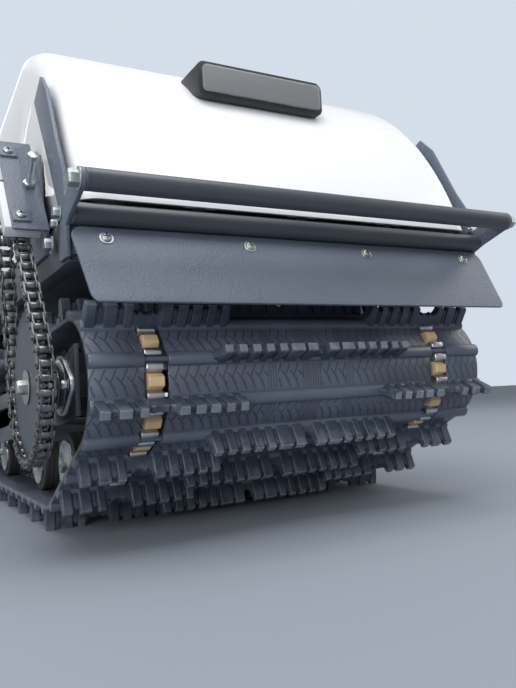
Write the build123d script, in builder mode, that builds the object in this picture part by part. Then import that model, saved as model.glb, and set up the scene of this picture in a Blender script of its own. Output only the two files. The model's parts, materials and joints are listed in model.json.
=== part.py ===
from build123d import *

import os
from math import asin, atan2, ceil, cos, hypot, pi, radians, sin

# Tracked snow towing vehicle: a walk-behind motor tow on one wide rubber track.
# The front faces -Y, +X is to the right seen from the front, and +Z is up. The origin
# lies on the ground, under the middle of the machine's box. Places along the length are
# given from the drive drum's axis, and along() turns them into the frame's own Y.

# Track: a belt in three strips, joined at each link by a clipped bar on either side
TRACK_WIDTH = 600.0
PITCH = 50.5
LINKS = 58
TEETH = 10
BELT = 6.0
LUG_HEIGHT = 32.0
LUG_FOOT = 15.0
LUG_TIP = 9.0
LUG_SINK = 2.0
CENTRE_LUG = 300.0
SIDE_LUG_INNER = 105.0
SIDE_LUG_EDGE = 10.0
WINDOW_X = 220.0
WINDOW_WIDTH = 30.0
BAR_LENGTH = 17.0
WIDE_BAR_LENGTH = 22.0
CLIP = 1.5
FIRST_ROW_ANGLE = 163.4
BELT_STEP = 24.0

# Running gear
DRUM_Z = 200.0
SPROCKET_WIDTH = 22.0
SPROCKET_TIP = 88.0
TOOTH_FOOT_ANGLE = 9.0
TOOTH_TIP_ANGLE = 5.0
HUB_RADIUS = 34.0
HUB_WIDTH = 46.0
SHAFT_RADIUS = 15.0
SHAFT_OUT = 9.0
SHAFT_COLLAR = 5.0
SLIP = 0.05
RUNNING_GAP = 0.3
BEARING_RADIUS = 36.0
BEARING_EYE = 40.0
BEARING_EYE_RADIUS = 12.0
BEARING_FLANGE = 5.0
BEARING_DOME = 6.0
COLLAR_RADIUS = 27.0
SIDE_GAP = 13.0
FRAME_GAP = 3.0
ROLLER_RADIUS = 50.0
STATIONS = (165.0, 360.0, 690.0, 1020.0)
ROLLER_WIDTH = 24.0
ROLLER_EDGE = 33.0
HUB_CAP_RADIUS = 40.0
HUB_CAP = 3.0
IDLER_RADIUS = 88.0
IDLER_Z = 135.0
IDLER_X = 175.0
IDLER_WIDTH = 34.0
AXLE_RADIUS = 7.9
BEAM = 30.0
BEAM_Z = 131.0
BEAM_FRONT = 118.0
BEAM_BEHIND = 30.0
BEAM_GAP = 5.0
HANGER = 8.0
HANGER_TOP = 68.0
HANGER_FOOT = 26.0
HANGER_UNDER = 7.0
CROSS_TUBE = 20.0
UPRIGHT = 26.0
UPRIGHT_LEAN = 40.0
PLATE = 5.0

# Side frame's upper and lower edge: place from the drum, height. Its windows run between
# two places, leaving an arm above and below.
FRAME_HIGH = ((-58.0, 246.0), (38.0, 222.0), (360.0, 205.0), (930.0, 175.0))
FRAME_LOW = ((-56.0, 164.0), (42.0, 152.0), (640.0, 104.0), (930.0, 104.0))
FRAME_ARM = 24.0
FRAME_WINDOWS = ((62.0, 360.0), (400.0, 620.0), (660.0, 905.0))

# Chain drive, outside the left rail
CHAIN_PITCH = 15.875
CHAIN_LINKS = 58
CHAIN_OUT = 29.0
CHAIN_INNER = 9.0
CHAIN_PLATE = 2.6
CHAIN_HEIGHT = 12.0
CHAIN_BAR = 5.6
CHAIN_STEP = 20.0
BIG_TEETH = 35
SMALL_TEETH = 15
TOOTH_REACH = 4.0
TOOTH_FOOT_SHARE = 0.22
TOOTH_TIP_SHARE = 0.07
CHAIN_LEAN = 23.7
SPROCKET_PLATE = 6.0
CROSS_SHAFT_RADIUS = 12.0
HOUSING_RADIUS = 26.0
HOUSING_REACH = 83.0
SIDE_PLATE_FRONT = ((47.0, 500.0), (38.0, 400.0))
SIDE_PLATE_FOOT = 26.0
SIDE_PLATE_BEHIND = 66.0
SIDE_PLATE_SHOULDER = 36.0
SIDE_PLATE_OVER = 58.0
GUIDE_LOW, GUIDE_HIGH = 155.0, 225.0
GUIDE_THICK = 15.7
GUIDE_INNER = 21.0
GUIDE_OUTER = 22.0
COVER_LOW, COVER_HIGH = 150.0, 322.0
COVER_OUTER = 14.0
COVER_FLANGE = 20.0
PAD = 21.0
PAD_THICK = 3.0
PAD_PLACES = (172.0, 298.0)
PAD_OUT = 2.0
TENSION_BOLT_UP = 232.0
TENSION_BOLT_X = 15.0
TENSION_BOLT_RADIUS = 4.0
TENSION_BOLT_REACH = 42.0
BOLT_HEAD_RADIUS = 7.5
BOLT_HEAD = 6.0

# Body
RAIL_LOW = 338.0
RAIL_HEIGHT = 52.0
RAIL_FLANGE = 26.0
SHEET = 3.0
RAIL_FRONT = -69.0
RAIL_REAR = 1262.0
REAR_MEMBER = 40.0
DECK_FRONT = 519.0
DECK_LIP = 22.0
CARGO_RAIL_UP = 37.0
CARGO_RAIL_RADIUS = 8.0
CARGO_RAIL_INSET = 64.0
CARGO_RAIL_BEND = 24.0
CARGO_RAIL_REAR = 1060.0
BAR_RADIUS = 12.5
TOP_BAR_Y, TOP_BAR_Z = -143.5, 410.0
LOW_BAR_Y, LOW_BAR_Z = -86.0, 389.0
BRACKET = 5.0
BRACKET_NOSE = 10.0
BRACKET_FRONT = ((-80.0, 409.0), (-76.0, 441.0), (-53.0, 478.0))
BRACKET_HEAD = ((-9.0, 564.0), (17.0, 590.0), (57.0, 572.0))
BRACKET_REAR = ((4.0, 491.0), (-57.0, 393.0))
BRACKET_FOOT = ((-46.0, 341.0), (-80.0, 341.0), (-80.0, 376.5), (-98.5, 384.0))
STRIP_TOP = 403.0
STRIP_LOW = 346.0
TAB_WIDTH = 15.0
TAB_X = 150.0
FLAP_TOP_Y, FLAP_TOP_Z = -85.0, 375.0
FLAP_LOW_Y, FLAP_LOW_Z = -138.0, 283.0
FLAP_HALF = 316.0
FLAP_LOW_HALF = 306.0
FLAP_CORNER = 14.0
FLAP_SCREWS = (-276.0, -92.0, 92.0, 276.0)
GUSSET = 24.0
GUSSET_DROP = 34.0
REAR_FLAP_TAB = 24.0
REAR_FLAP_REACH = 40.0
REAR_FLAP_DROP = 52.0

# Hood and what it covers
HOOD_HALF = 305.0
HOOD_LOW = 408.0
HOOD_FRONT = -88.0
HOOD_BELLY_Y, HOOD_BELLY_Z = -62.0, 474.0
HOOD_KNEE_Y, HOOD_KNEE_Z = -9.0, 564.0
HOOD_CROWN_Y = 190.0
HOOD_TOP = 705.0
HOOD_REAR = 505.0
HOOD_BACK_LEAN = 55.0
HOOD_BACK_DROP = 26.0
HOOD_ROUND = 30.0
HOOD_SHOULDER = 40.0
HOOD_WALL = 4.0
HINGE_Y, HINGE_Z = -76.0, 413.0
HINGE_RADIUS = 4.0
HINGE_PIN = 2.0
KNUCKLE = 14.0
NOTCH = 36.0
VENTS = 5
VENT_SPACING = 22.0
VENT_HEIGHT = 9.0
VENT_LENGTH = 120.0
VENT_Y, VENT_Z = 300.0, 500.0
BUFFER_Y = 450.0
BUFFER = 16.0
LAMP_HALF = 105.0
LAMP_LOW, LAMP_HIGH = 596.0, 648.0
LAMP_FRONT = 4.0
LENS = 6.0
LENS_BORDER = 7.0
ENGINE_HALF = 195.0
ENGINE_FRONT, ENGINE_REAR = 75.0, 400.0
ENGINE_BELOW_TOP = 90.0
GUARD_FRONT_Y, GUARD_REAR_Y, GUARD_Z = 120.0, 370.0, 480.0
GUARD_FRONT_RADIUS, GUARD_REAR_RADIUS = 62.0, 78.0
GUARD_FOOT = 40.0

# Handlebar
PIVOT_Y = 1120.0
PIVOT_UP = 39.0
PIVOT_RADIUS = 6.0
BOSS_RADIUS = 18.0
EAR_TOP = 14.4
HANDLE_TUBE = 12.5
HANDLE_INSET = 31.0
HANDLE_BEND_Y, HANDLE_BEND_Z = 1318.0, 872.0
HANDLE_BEND_RADIUS = 60.0
EAR = 6.0
EAR_FOOT = 60.0
GRIP_RADIUS = 17.0
GRIP_LENGTH = 110.0
GRIP_REACH = 1478.0
GRIP_RISE = 13.0
GRIP_END = 6.0
CROSSBAR_DROP = 120.0
CROSSBAR_RADIUS = 10.0
CONSOLE_HALF = 60.0
CONSOLE_LENGTH = 70.0
CONSOLE_THICK = 40.0
LEVER_CLAMP = 18.0
LEVER_WIDTH = 8.0
LEVER_DROP = 34.0
LEVER_REACH = 96.0

# Tow coupler
HITCH_Y, HITCH_Z = 1300.0, 366.0
HITCH_PLATE = 8.0
HITCH_HALF = 30.0
HITCH_PAST = 24.0
COUPLER_THICK = 20.0
COUPLER_REACH = 70.0
COUPLER_HALF = 19.0
PIN_RADIUS = 8.0
PIN_HEAD_RADIUS = 14.0
PIN_HEAD = 7.0
EYE_RADIUS = 8.5

FRONT_REACH = -(TOP_BAR_Y - BAR_RADIUS)
Y_DRUM = (FRONT_REACH - GRIP_REACH) / 2
BELT_MID = PITCH * TEETH / (2 * pi)
ROLLER_Z = LUG_HEIGHT + BELT + ROLLER_RADIUS
EDGE = TRACK_WIDTH / 2
RAIL_X = EDGE + SIDE_GAP
OUTSIDE = RAIL_X + PLATE
FRAME_X = EDGE + FRAME_GAP
WINDOW_INNER = WINDOW_X - WINDOW_WIDTH / 2
WINDOW_OUTER = WINDOW_X + WINDOW_WIDTH / 2
ROLLER_OUTER = EDGE - ROLLER_EDGE
ROLLER_INNER = ROLLER_OUTER - ROLLER_WIDTH
BEAM_X = ROLLER_INNER - BEAM_GAP - BEAM / 2
RAIL_HIGH = RAIL_LOW + RAIL_HEIGHT
DECK_TOP = RAIL_HIGH + SHEET
CHAIN_X = -OUTSIDE - CHAIN_OUT
PIVOT_Z = DECK_TOP + PIVOT_UP
HANDLE_X = RAIL_X - HANDLE_INSET
GUARD_REACH = GUIDE_OUTER - CHAIN_X


def along(y):
    """A place given from the drum's axis, in the frame's own Y."""
    return y + Y_DRUM


def about(middle, width):
    """Limits of something this wide about its middle."""
    return middle - width / 2, middle + width / 2


def both_sides(inner, outer):
    """X limits of like pieces on the left and on the right."""
    return (-outer, -inner), (inner, outer)


def save(piece, label):
    """Names a finished piece and writes it."""
    piece.part.label = label
    export_step(piece.part, f"parts/{label}.step")


def sheet_x(outline, limits, mode=Mode.ADD, corner=0.0):
    """Adds a plate: an outline of (place from the drum, height), carried across in X."""
    low, high = limits
    with BuildSketch(Plane.YZ.offset(low)) as face:
        with BuildLine():
            Polyline(*[(along(y), z) for y, z in outline], close=True)
        make_face()
        if corner:
            fillet(face.vertices(), corner)
    extrude(face.sketch, amount=high - low, mode=mode)


def rod_x(place, radius, limits, mode=Mode.ADD):
    """Adds a round bar across the machine, its place given from the drum."""
    low, high = limits
    with BuildSketch(Plane.YZ.offset(low)) as face:
        with Locations((along(place[0]), place[1])):
            Circle(radius)
    extrude(face.sketch, amount=high - low, mode=mode)


def block(x_limits, y_limits, z_limits, mode=Mode.ADD):
    """Adds a box by its limits, its place along the length given from the drum."""
    (x1, x2), (y1, y2), (z1, z2) = x_limits, y_limits, z_limits
    with Locations(((x1 + x2) / 2, along((y1 + y2) / 2), (z1 + z2) / 2)):
        Box(x2 - x1, y2 - y1, z2 - z1, mode=mode)


def rod_z(place, radius, limits, mode=Mode.ADD):
    """Adds an upright round bar in the middle plane."""
    low, high = limits
    with BuildSketch(Plane.XY.offset(low)) as face:
        with Locations((0, along(place))):
            Circle(radius)
    extrude(face.sketch, amount=high - low, mode=mode)


def headings(table):
    """Direction of travel on each straight run, from one wheel to the next."""
    result = []
    for (y1, z1, r1), (y2, z2, r2) in zip(table, table[1:] + table[:1]):
        reach = hypot(y2 - y1, z2 - z1)
        result.append(atan2(z2 - z1, y2 - y1) + asin((r1 - r2) / reach))
    return result


def path(table):
    """A loop's middle line as stretches: kind, length, first heading, wheel or start."""
    turns = headings(table)
    stretches = []
    for index, (y, z, radius) in enumerate(table):
        before, after = turns[index - 1], turns[index]
        turn = (after - before) % (2 * pi)
        stretches.append(("arc", radius * turn, before, (y, z, radius)))
        y2, z2, radius2 = table[(index + 1) % len(table)]
        start = (y + radius * sin(after), z - radius * cos(after))
        end = (y2 + radius2 * sin(after), z2 - radius2 * cos(after))
        stretches.append(("line", hypot(end[0] - start[0], end[1] - start[1]), after, start))
    return stretches


def length_of(table):
    """Length of the middle line round these wheels."""
    return sum(stretch[1] for stretch in path(table))


def fitted(table_for, low, high, wanted):
    """The wheels of a loop, their reach found so that the loop has the wanted length."""
    for _ in range(60):
        middle = (low + high) / 2
        if length_of(table_for(middle)) < wanted:
            low = middle
        else:
            high = middle
    return table_for(low)


def belt_wheels(idler_y):
    """What the belt goes round: place from the drum, height, radius of the belt's middle."""
    return (
        (0.0, DRUM_Z, BELT_MID),
        (STATIONS[0], ROLLER_Z, ROLLER_RADIUS + BELT / 2),
        (STATIONS[-1], ROLLER_Z, ROLLER_RADIUS + BELT / 2),
        (idler_y, IDLER_Z, IDLER_RADIUS + BELT / 2),
    )


def chain_wheels(reach):
    """The big and the small sprocket: place from the drum, height, pitch radius."""
    lean = radians(CHAIN_LEAN)
    big = CHAIN_PITCH / (2 * sin(pi / BIG_TEETH))
    small = CHAIN_PITCH / (2 * sin(pi / SMALL_TEETH))
    return (0.0, DRUM_Z, big), (reach * sin(lean), DRUM_Z + reach * cos(lean), small)


BELT_LENGTH = LINKS * PITCH
CHAIN_LENGTH = CHAIN_LINKS * CHAIN_PITCH
WHEELS = fitted(belt_wheels, STATIONS[-1] + IDLER_RADIUS / 2, BELT_LENGTH / 2, BELT_LENGTH)
BELT_PATH = path(WHEELS)
CHAIN_WHEELS = fitted(chain_wheels, CHAIN_LENGTH / 5, CHAIN_LENGTH / 2, CHAIN_LENGTH)
CHAIN_PATH = path(CHAIN_WHEELS)
IDLER_Y = WHEELS[-1][0]
UPPER_Y, UPPER_Z, SMALL_RADIUS = CHAIN_WHEELS[1]
BIG_RADIUS = CHAIN_WHEELS[0][2]
FIRST_ROW = BELT_MID * (radians(FIRST_ROW_ANGLE) - (BELT_PATH[0][2] - pi / 2))
ROWS = [FIRST_ROW + PITCH * link for link in range(LINKS)]
CENTRE_ROWS = ROWS[0::2]
SIDE_ROWS = ROWS[1::2]


def place(stretches, distance):
    """Point of a loop's middle line and its heading, so far along the loop."""
    left = distance % sum(stretch[1] for stretch in stretches)
    for kind, length, heading, base in stretches:
        if left <= length:
            break
        left -= length
    if kind == "line":
        return base[0] + left * cos(heading), base[1] + left * sin(heading), heading
    y, z, radius = base
    now = heading + left / radius
    return y + radius * sin(now), z - radius * cos(now), now


def across(stretches, distance, shape):
    """Outline given as (along travel, outward), set at a place of a loop."""
    y, z, heading = place(stretches, distance)
    return [
        (y + t * cos(heading) + n * sin(heading), z + t * sin(heading) - n * cos(heading))
        for t, n in shape
    ]


def repeat_on(stretches, distances, shape, limits):
    """Adds the same outline at each of these places of a loop, carried across in X."""
    low, high = limits
    with BuildSketch(Plane.YZ.offset(low)) as faces:
        for distance in distances:
            with BuildLine():
                corners = across(stretches, distance, shape)
                Polyline(*[(along(y), z) for y, z in corners], close=True)
            make_face()
    extrude(faces.sketch, amount=high - low)


def loop_outline(table, grow, step):
    """A loop's outline, moved outwards by grow, with flats of this step round its wheels."""
    turns = headings(table)
    corners = []
    for index, (y, z, radius) in enumerate(table):
        turn = (turns[index] - turns[index - 1]) % (2 * pi)
        flats = ceil(turn / radians(step))
        reach = (radius + grow) / cos(turn / flats / 2)
        for flat in range(flats):
            angle = turns[index - 1] + turn * (flat + 0.5) / flats
            corners.append((y + reach * sin(angle), z - reach * cos(angle)))
    return corners


def loop_strip(table, half, limits, step):
    """Adds a closed strip round the wheels, this thick each way, between two X limits."""
    sheet_x(loop_outline(table, half, step), limits)
    sheet_x(loop_outline(table, -half, step), limits, Mode.SUBTRACT)


def on_strand(up, out):
    """A point so far up the line of the chain's front strand and so far out before it."""
    kind, length, heading, (y, z) = CHAIN_PATH[3]
    down = length - up
    return (
        y + down * cos(heading) + out * sin(heading), z + down * sin(heading) - out * cos(heading)
    )


def make_track():
    """Belt strips with their rows of lugs, one row in the middle and the next at the sides."""
    foot = BELT / 2 - LUG_SINK
    tip = BELT / 2 + LUG_HEIGHT
    lug = ((-LUG_FOOT / 2, foot), (LUG_FOOT / 2, foot), (LUG_TIP / 2, tip), (-LUG_TIP / 2, tip))
    strips = ((-EDGE, -WINDOW_OUTER), (-WINDOW_INNER, WINDOW_INNER), (WINDOW_OUTER, EDGE))
    with BuildPart() as track:
        for limits in strips:
            loop_strip(WHEELS, BELT / 2, limits, BELT_STEP)
        repeat_on(BELT_PATH, CENTRE_ROWS, lug, about(0, CENTRE_LUG))
        for limits in both_sides(SIDE_LUG_INNER, EDGE - SIDE_LUG_EDGE):
            repeat_on(BELT_PATH, SIDE_ROWS, lug, limits)
    save(track, "track")


def make_clips():
    """Bars across the windows in their folded clips, lower where a lug passes over."""
    low = -BELT / 2 - CLIP
    kinds = (
        (CENTRE_ROWS, BAR_LENGTH / 2, BELT / 2 + CLIP),
        (SIDE_ROWS, WIDE_BAR_LENGTH / 2, BELT / 2 - LUG_SINK),
    )
    with BuildPart() as clips:
        for rows, half, high in kinds:
            outline = ((-half, low), (half, low), (half, high), (-half, high))
            for limits in both_sides(WINDOW_INNER, WINDOW_OUTER):
                repeat_on(BELT_PATH, rows, outline, limits)
    save(clips, "track_clips")


def make_drive_sprockets():
    """Two toothed wheels whose teeth come out through the belt's windows."""
    root = BELT_MID - BELT / 2 - CLIP - RUNNING_GAP
    corners = (
        (root, -TOOTH_FOOT_ANGLE), (SPROCKET_TIP, -TOOTH_TIP_ANGLE),
        (SPROCKET_TIP, TOOTH_TIP_ANGLE), (root, TOOTH_FOOT_ANGLE),
    )
    outline = []
    for tooth in range(TEETH):
        middle = FIRST_ROW_ANGLE + 360 / TEETH * (tooth + 0.5)
        for radius, turn in corners:
            angle = radians(middle + turn)
            outline.append((radius * cos(angle), DRUM_Z + radius * sin(angle)))
    axis = (0.0, DRUM_Z)
    with BuildPart() as sprockets:
        for side in (-WINDOW_X, WINDOW_X):
            sheet_x(outline, about(side, SPROCKET_WIDTH))
            rod_x(axis, HUB_RADIUS, about(side, HUB_WIDTH))
            rod_x(axis, SHAFT_RADIUS + SLIP, about(side, HUB_WIDTH), Mode.SUBTRACT)
    save(sprockets, "drive_sprockets")


def height_on(line, y):
    """Height of an edge, given as a table of places and heights, at one place."""
    for (y1, z1), (y2, z2) in zip(line, line[1:]):
        if y1 <= y <= y2:
            return z1 + (z2 - z1) * (y - y1) / (y2 - y1)


def make_drive_shaft():
    """Drive shaft, its two flanged bearings and the windowed side frames that hold them."""
    axis = (0.0, DRUM_Z)
    sprocket_face = CHAIN_X - SPROCKET_PLATE / 2
    face = FRAME_X + PLATE
    with BuildPart() as shaft:
        rod_x(axis, SHAFT_RADIUS, (sprocket_face - SHAFT_OUT, OUTSIDE + SHAFT_OUT))
        rod_x(axis, SHAFT_RADIUS + SHAFT_COLLAR, (sprocket_face - SHAFT_OUT, sprocket_face))
    save(shaft, "drive_shaft")
    flange = (
        (-BEARING_EYE, DRUM_Z, BEARING_EYE_RADIUS), (0.0, DRUM_Z, BEARING_RADIUS),
        (BEARING_EYE, DRUM_Z, BEARING_EYE_RADIUS), (0.0, DRUM_Z, BEARING_RADIUS),
    )
    with BuildPart() as bearings:
        for limits in both_sides(face, face + BEARING_FLANGE):
            sheet_x(loop_outline(flange, 0.0, BELT_STEP), limits)
        for limits in both_sides(face + BEARING_FLANGE, face + BEARING_FLANGE + BEARING_DOME):
            rod_x(axis, COLLAR_RADIUS, limits)
        for limits in both_sides(face, face + BEARING_FLANGE + BEARING_DOME):
            rod_x(axis, SHAFT_RADIUS + SLIP, limits, Mode.SUBTRACT)
    save(bearings, "shaft_bearings")
    with BuildPart() as frames:
        for limits in both_sides(FRAME_X, face):
            sheet_x((*FRAME_LOW, *reversed(FRAME_HIGH)), limits)
            for front, rear in FRAME_WINDOWS:
                window = [(y, height_on(FRAME_LOW, y) + FRAME_ARM) for y in (front, rear)]
                window += [(y, height_on(FRAME_HIGH, y) - FRAME_ARM) for y in (rear, front)]
                sheet_x(window, limits, Mode.SUBTRACT)
            rod_x(axis, SHAFT_RADIUS + SLIP, limits, Mode.SUBTRACT)
    save(frames, "bearing_plates")


def make_wheels():
    """Road rollers with their hub caps, the rear idlers and all their axles."""
    idler_inner, idler_outer = about(IDLER_X, IDLER_WIDTH)
    with BuildPart() as rollers:
        for y in STATIONS:
            for limits in both_sides(ROLLER_INNER, ROLLER_OUTER):
                rod_x((y, ROLLER_Z), ROLLER_RADIUS, limits)
    save(rollers, "road_rollers")
    with BuildPart() as caps:
        for y in STATIONS:
            for limits in both_sides(ROLLER_OUTER, ROLLER_OUTER + HUB_CAP):
                rod_x((y, ROLLER_Z), HUB_CAP_RADIUS, limits)
    save(caps, "roller_hub_caps")
    axis = (IDLER_Y, IDLER_Z)
    with BuildPart() as idlers:
        for limits in both_sides(idler_inner, idler_outer):
            rod_x(axis, IDLER_RADIUS, limits)
    save(idlers, "rear_idlers")
    with BuildPart() as axles:
        for y in STATIONS:
            rod_x((y, ROLLER_Z), AXLE_RADIUS, (-ROLLER_INNER, ROLLER_INNER))
        rod_x(axis, AXLE_RADIUS, (-idler_inner, idler_inner))
        for limits in both_sides(idler_outer, BEAM_X + BEAM):
            rod_x(axis, AXLE_RADIUS, limits)
    save(axles, "wheel_axles")


def make_track_frame():
    """Inner frame: two beams with slotted hangers, cross tubes and leaning uprights."""
    slot = AXLE_RADIUS + RUNNING_GAP
    foot = ROLLER_Z - AXLE_RADIUS - HANGER_UNDER
    between = [(y1 + y2) / 2 for y1, y2 in zip(STATIONS, STATIONS[1:])]
    tube_end = FRAME_X
    with BuildPart() as frame:
        for x in (-BEAM_X, BEAM_X):
            wide = about(x, BEAM)
            block(wide, (BEAM_FRONT, IDLER_Y + BEAM_BEHIND), about(BEAM_Z, BEAM))
            for y in STATIONS:
                hanger = (
                    (y - HANGER_TOP / 2, BEAM_Z), (y + HANGER_TOP / 2, BEAM_Z),
                    (y + HANGER_FOOT / 2, foot), (y - HANGER_FOOT / 2, foot),
                )
                sheet_x(hanger, about(x, HANGER))
                block(wide, about(y, 2 * slot), (foot, ROLLER_Z + slot), Mode.SUBTRACT)
            back = (IDLER_Y - slot, IDLER_Y + BEAM_BEHIND)
            block(wide, back, about(IDLER_Z, 2 * slot), Mode.SUBTRACT)
        for y in between:
            block((-tube_end, tube_end), about(y, CROSS_TUBE), about(BEAM_Z, CROSS_TUBE))
    save(frame, "track_frame")
    with BuildPart() as uprights:
        for y in between:
            low, high = about(y, UPRIGHT)
            foot = BEAM_Z - CROSS_TUBE / 2
            bar = (
                (low, foot), (high, foot),
                (high + UPRIGHT_LEAN, RAIL_LOW), (low + UPRIGHT_LEAN, RAIL_LOW),
            )
            for limits in both_sides(FRAME_X + PLATE, FRAME_X + PLATE + HANGER):
                sheet_x(bar, limits)
    save(uprights, "frame_uprights")


def toothed_disc(wheel, teeth, turned, limits):
    """Adds a chain wheel whose pointed teeth stand between the chain's rollers."""
    y, z, radius = wheel
    root, tip = radius - CHAIN_BAR / 2 - RUNNING_GAP, radius + TOOTH_REACH
    corners = (
        (root, -TOOTH_FOOT_SHARE), (tip, -TOOTH_TIP_SHARE),
        (tip, TOOTH_TIP_SHARE), (root, TOOTH_FOOT_SHARE),
    )
    outline = []
    for tooth in range(teeth):
        for reach, share in corners:
            angle = turned + 2 * pi / teeth * (tooth + share)
            outline.append((y + reach * cos(angle), z + reach * sin(angle)))
    sheet_x(outline, limits)


def make_chain():
    """Roller chain as two rows of plates joined by its rollers, and its two sprockets."""
    bar = CHAIN_BAR / 2
    roller = ((-bar, -bar), (bar, -bar), (bar, bar), (-bar, bar))
    links = [CHAIN_PITCH * link for link in range(CHAIN_LINKS)]
    with BuildPart() as chain:
        for low, high in both_sides(CHAIN_INNER / 2, CHAIN_INNER / 2 + CHAIN_PLATE):
            limits = (CHAIN_X + low, CHAIN_X + high)
            loop_strip(CHAIN_WHEELS, CHAIN_HEIGHT / 2, limits, CHAIN_STEP)
        repeat_on(CHAIN_PATH, links, roller, about(CHAIN_X, CHAIN_INNER))
    save(chain, "drive_chain")
    limits = about(CHAIN_X, SPROCKET_PLATE)
    to_small = CHAIN_PATH[0][1] + CHAIN_PATH[1][1]
    first_on_small = ceil(to_small / CHAIN_PITCH) * CHAIN_PITCH - to_small
    turned_big = CHAIN_PATH[0][2] - pi / 2 + pi / BIG_TEETH
    turned_small = CHAIN_PATH[2][2] - pi / 2 + first_on_small / SMALL_RADIUS + pi / SMALL_TEETH
    wheels = (
        (CHAIN_WHEELS[0], BIG_TEETH, turned_big, SHAFT_RADIUS),
        (CHAIN_WHEELS[1], SMALL_TEETH, turned_small, CROSS_SHAFT_RADIUS),
    )
    with BuildPart() as sprockets:
        for wheel, teeth, turned, bore in wheels:
            toothed_disc(wheel, teeth, turned, limits)
            rod_x(wheel[:2], bore + SLIP, limits, Mode.SUBTRACT)
    save(sprockets, "chain_sprockets")


def make_cross_shaft():
    """Short shaft from the engine, its bearing housing and the side plate round it."""
    axis = (UPPER_Y, UPPER_Z)
    out = CHAIN_X - SPROCKET_PLATE / 2 - SHAFT_COLLAR
    with BuildPart() as shaft:
        rod_x(axis, CROSS_SHAFT_RADIUS, (out, -ENGINE_HALF - RUNNING_GAP))
    save(shaft, "cross_shaft")
    low = RAIL_LOW + RAIL_FLANGE
    rear = UPPER_Y + SIDE_PLATE_BEHIND
    outline = (
        (SIDE_PLATE_FOOT, low), (rear, low), (rear, UPPER_Z),
        (UPPER_Y + SIDE_PLATE_SHOULDER, UPPER_Z + SIDE_PLATE_OVER),
        on_strand(COVER_HIGH, 0), *SIDE_PLATE_FRONT,
    )
    tube = (-OUTSIDE, -OUTSIDE + HOUSING_REACH)
    with BuildPart() as housing:
        sheet_x(outline, (-OUTSIDE, -RAIL_X))
        rod_x(axis, HOUSING_RADIUS, tube)
        rod_x(axis, CROSS_SHAFT_RADIUS + SLIP, tube, Mode.SUBTRACT)
    save(housing, "cross_shaft_housing")


def strand_box(up_limits, out_limits, x_limits):
    """Adds a block lined up with the chain's front strand."""
    (up1, up2), (out1, out2) = up_limits, out_limits
    outline = [on_strand(up1, out1), on_strand(up2, out1), on_strand(up2, out2), on_strand(up1, out2)]
    sheet_x(outline, x_limits)


def make_chain_cover():
    """Cover before the chain's front strand, its guide block and its tension bolt."""
    chain_face = CHAIN_HEIGHT / 2 + RUNNING_GAP
    back = chain_face + GUIDE_THICK
    face = back + SHEET
    bolt_x = CHAIN_X + TENSION_BOLT_X
    axis_y, axis_z = on_strand(TENSION_BOLT_UP, 0)
    out_y, out_z = on_strand(TENSION_BOLT_UP, 1)
    outward = (0, out_y - axis_y, out_z - axis_z)

    def bolt_plane(out):
        y, z = on_strand(TENSION_BOLT_UP, out)
        return Plane(origin=(bolt_x, along(y), z), x_dir=(1, 0, 0), z_dir=outward)

    with BuildPart() as cover:
        strand_box((COVER_LOW, COVER_HIGH), (back, face), (CHAIN_X - COVER_OUTER, -OUTSIDE))
        strand_box((COVER_LOW, COVER_HIGH), (back - COVER_FLANGE, face), (-OUTSIDE - SHEET, -OUTSIDE))
        for up in PAD_PLACES:
            strand_box(about(up, PAD), (face, face + PAD_THICK), about(CHAIN_X - PAD_OUT, PAD))
        with BuildSketch(bolt_plane(back)) as hole:
            Circle(TENSION_BOLT_RADIUS + SLIP)
        extrude(hole.sketch, amount=SHEET, mode=Mode.SUBTRACT)
    save(cover, "chain_cover")
    with BuildPart() as guide:
        limits = (CHAIN_X - GUIDE_OUTER, CHAIN_X + GUIDE_INNER)
        strand_box((GUIDE_LOW, GUIDE_HIGH + 2 * BOLT_HEAD_RADIUS), (chain_face, back), limits)
    save(guide, "chain_guide")
    with BuildPart() as bolt:
        with BuildSketch(bolt_plane(back)) as shank:
            Circle(TENSION_BOLT_RADIUS)
        extrude(shank.sketch, amount=SHEET + TENSION_BOLT_REACH + BOLT_HEAD)
        for out in (face, face + TENSION_BOLT_REACH):
            with BuildSketch(bolt_plane(out)) as hexagon:
                RegularPolygon(BOLT_HEAD_RADIUS, 6)
            extrude(hexagon.sketch, amount=BOLT_HEAD)
    save(bolt, "tension_bolt")


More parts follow.
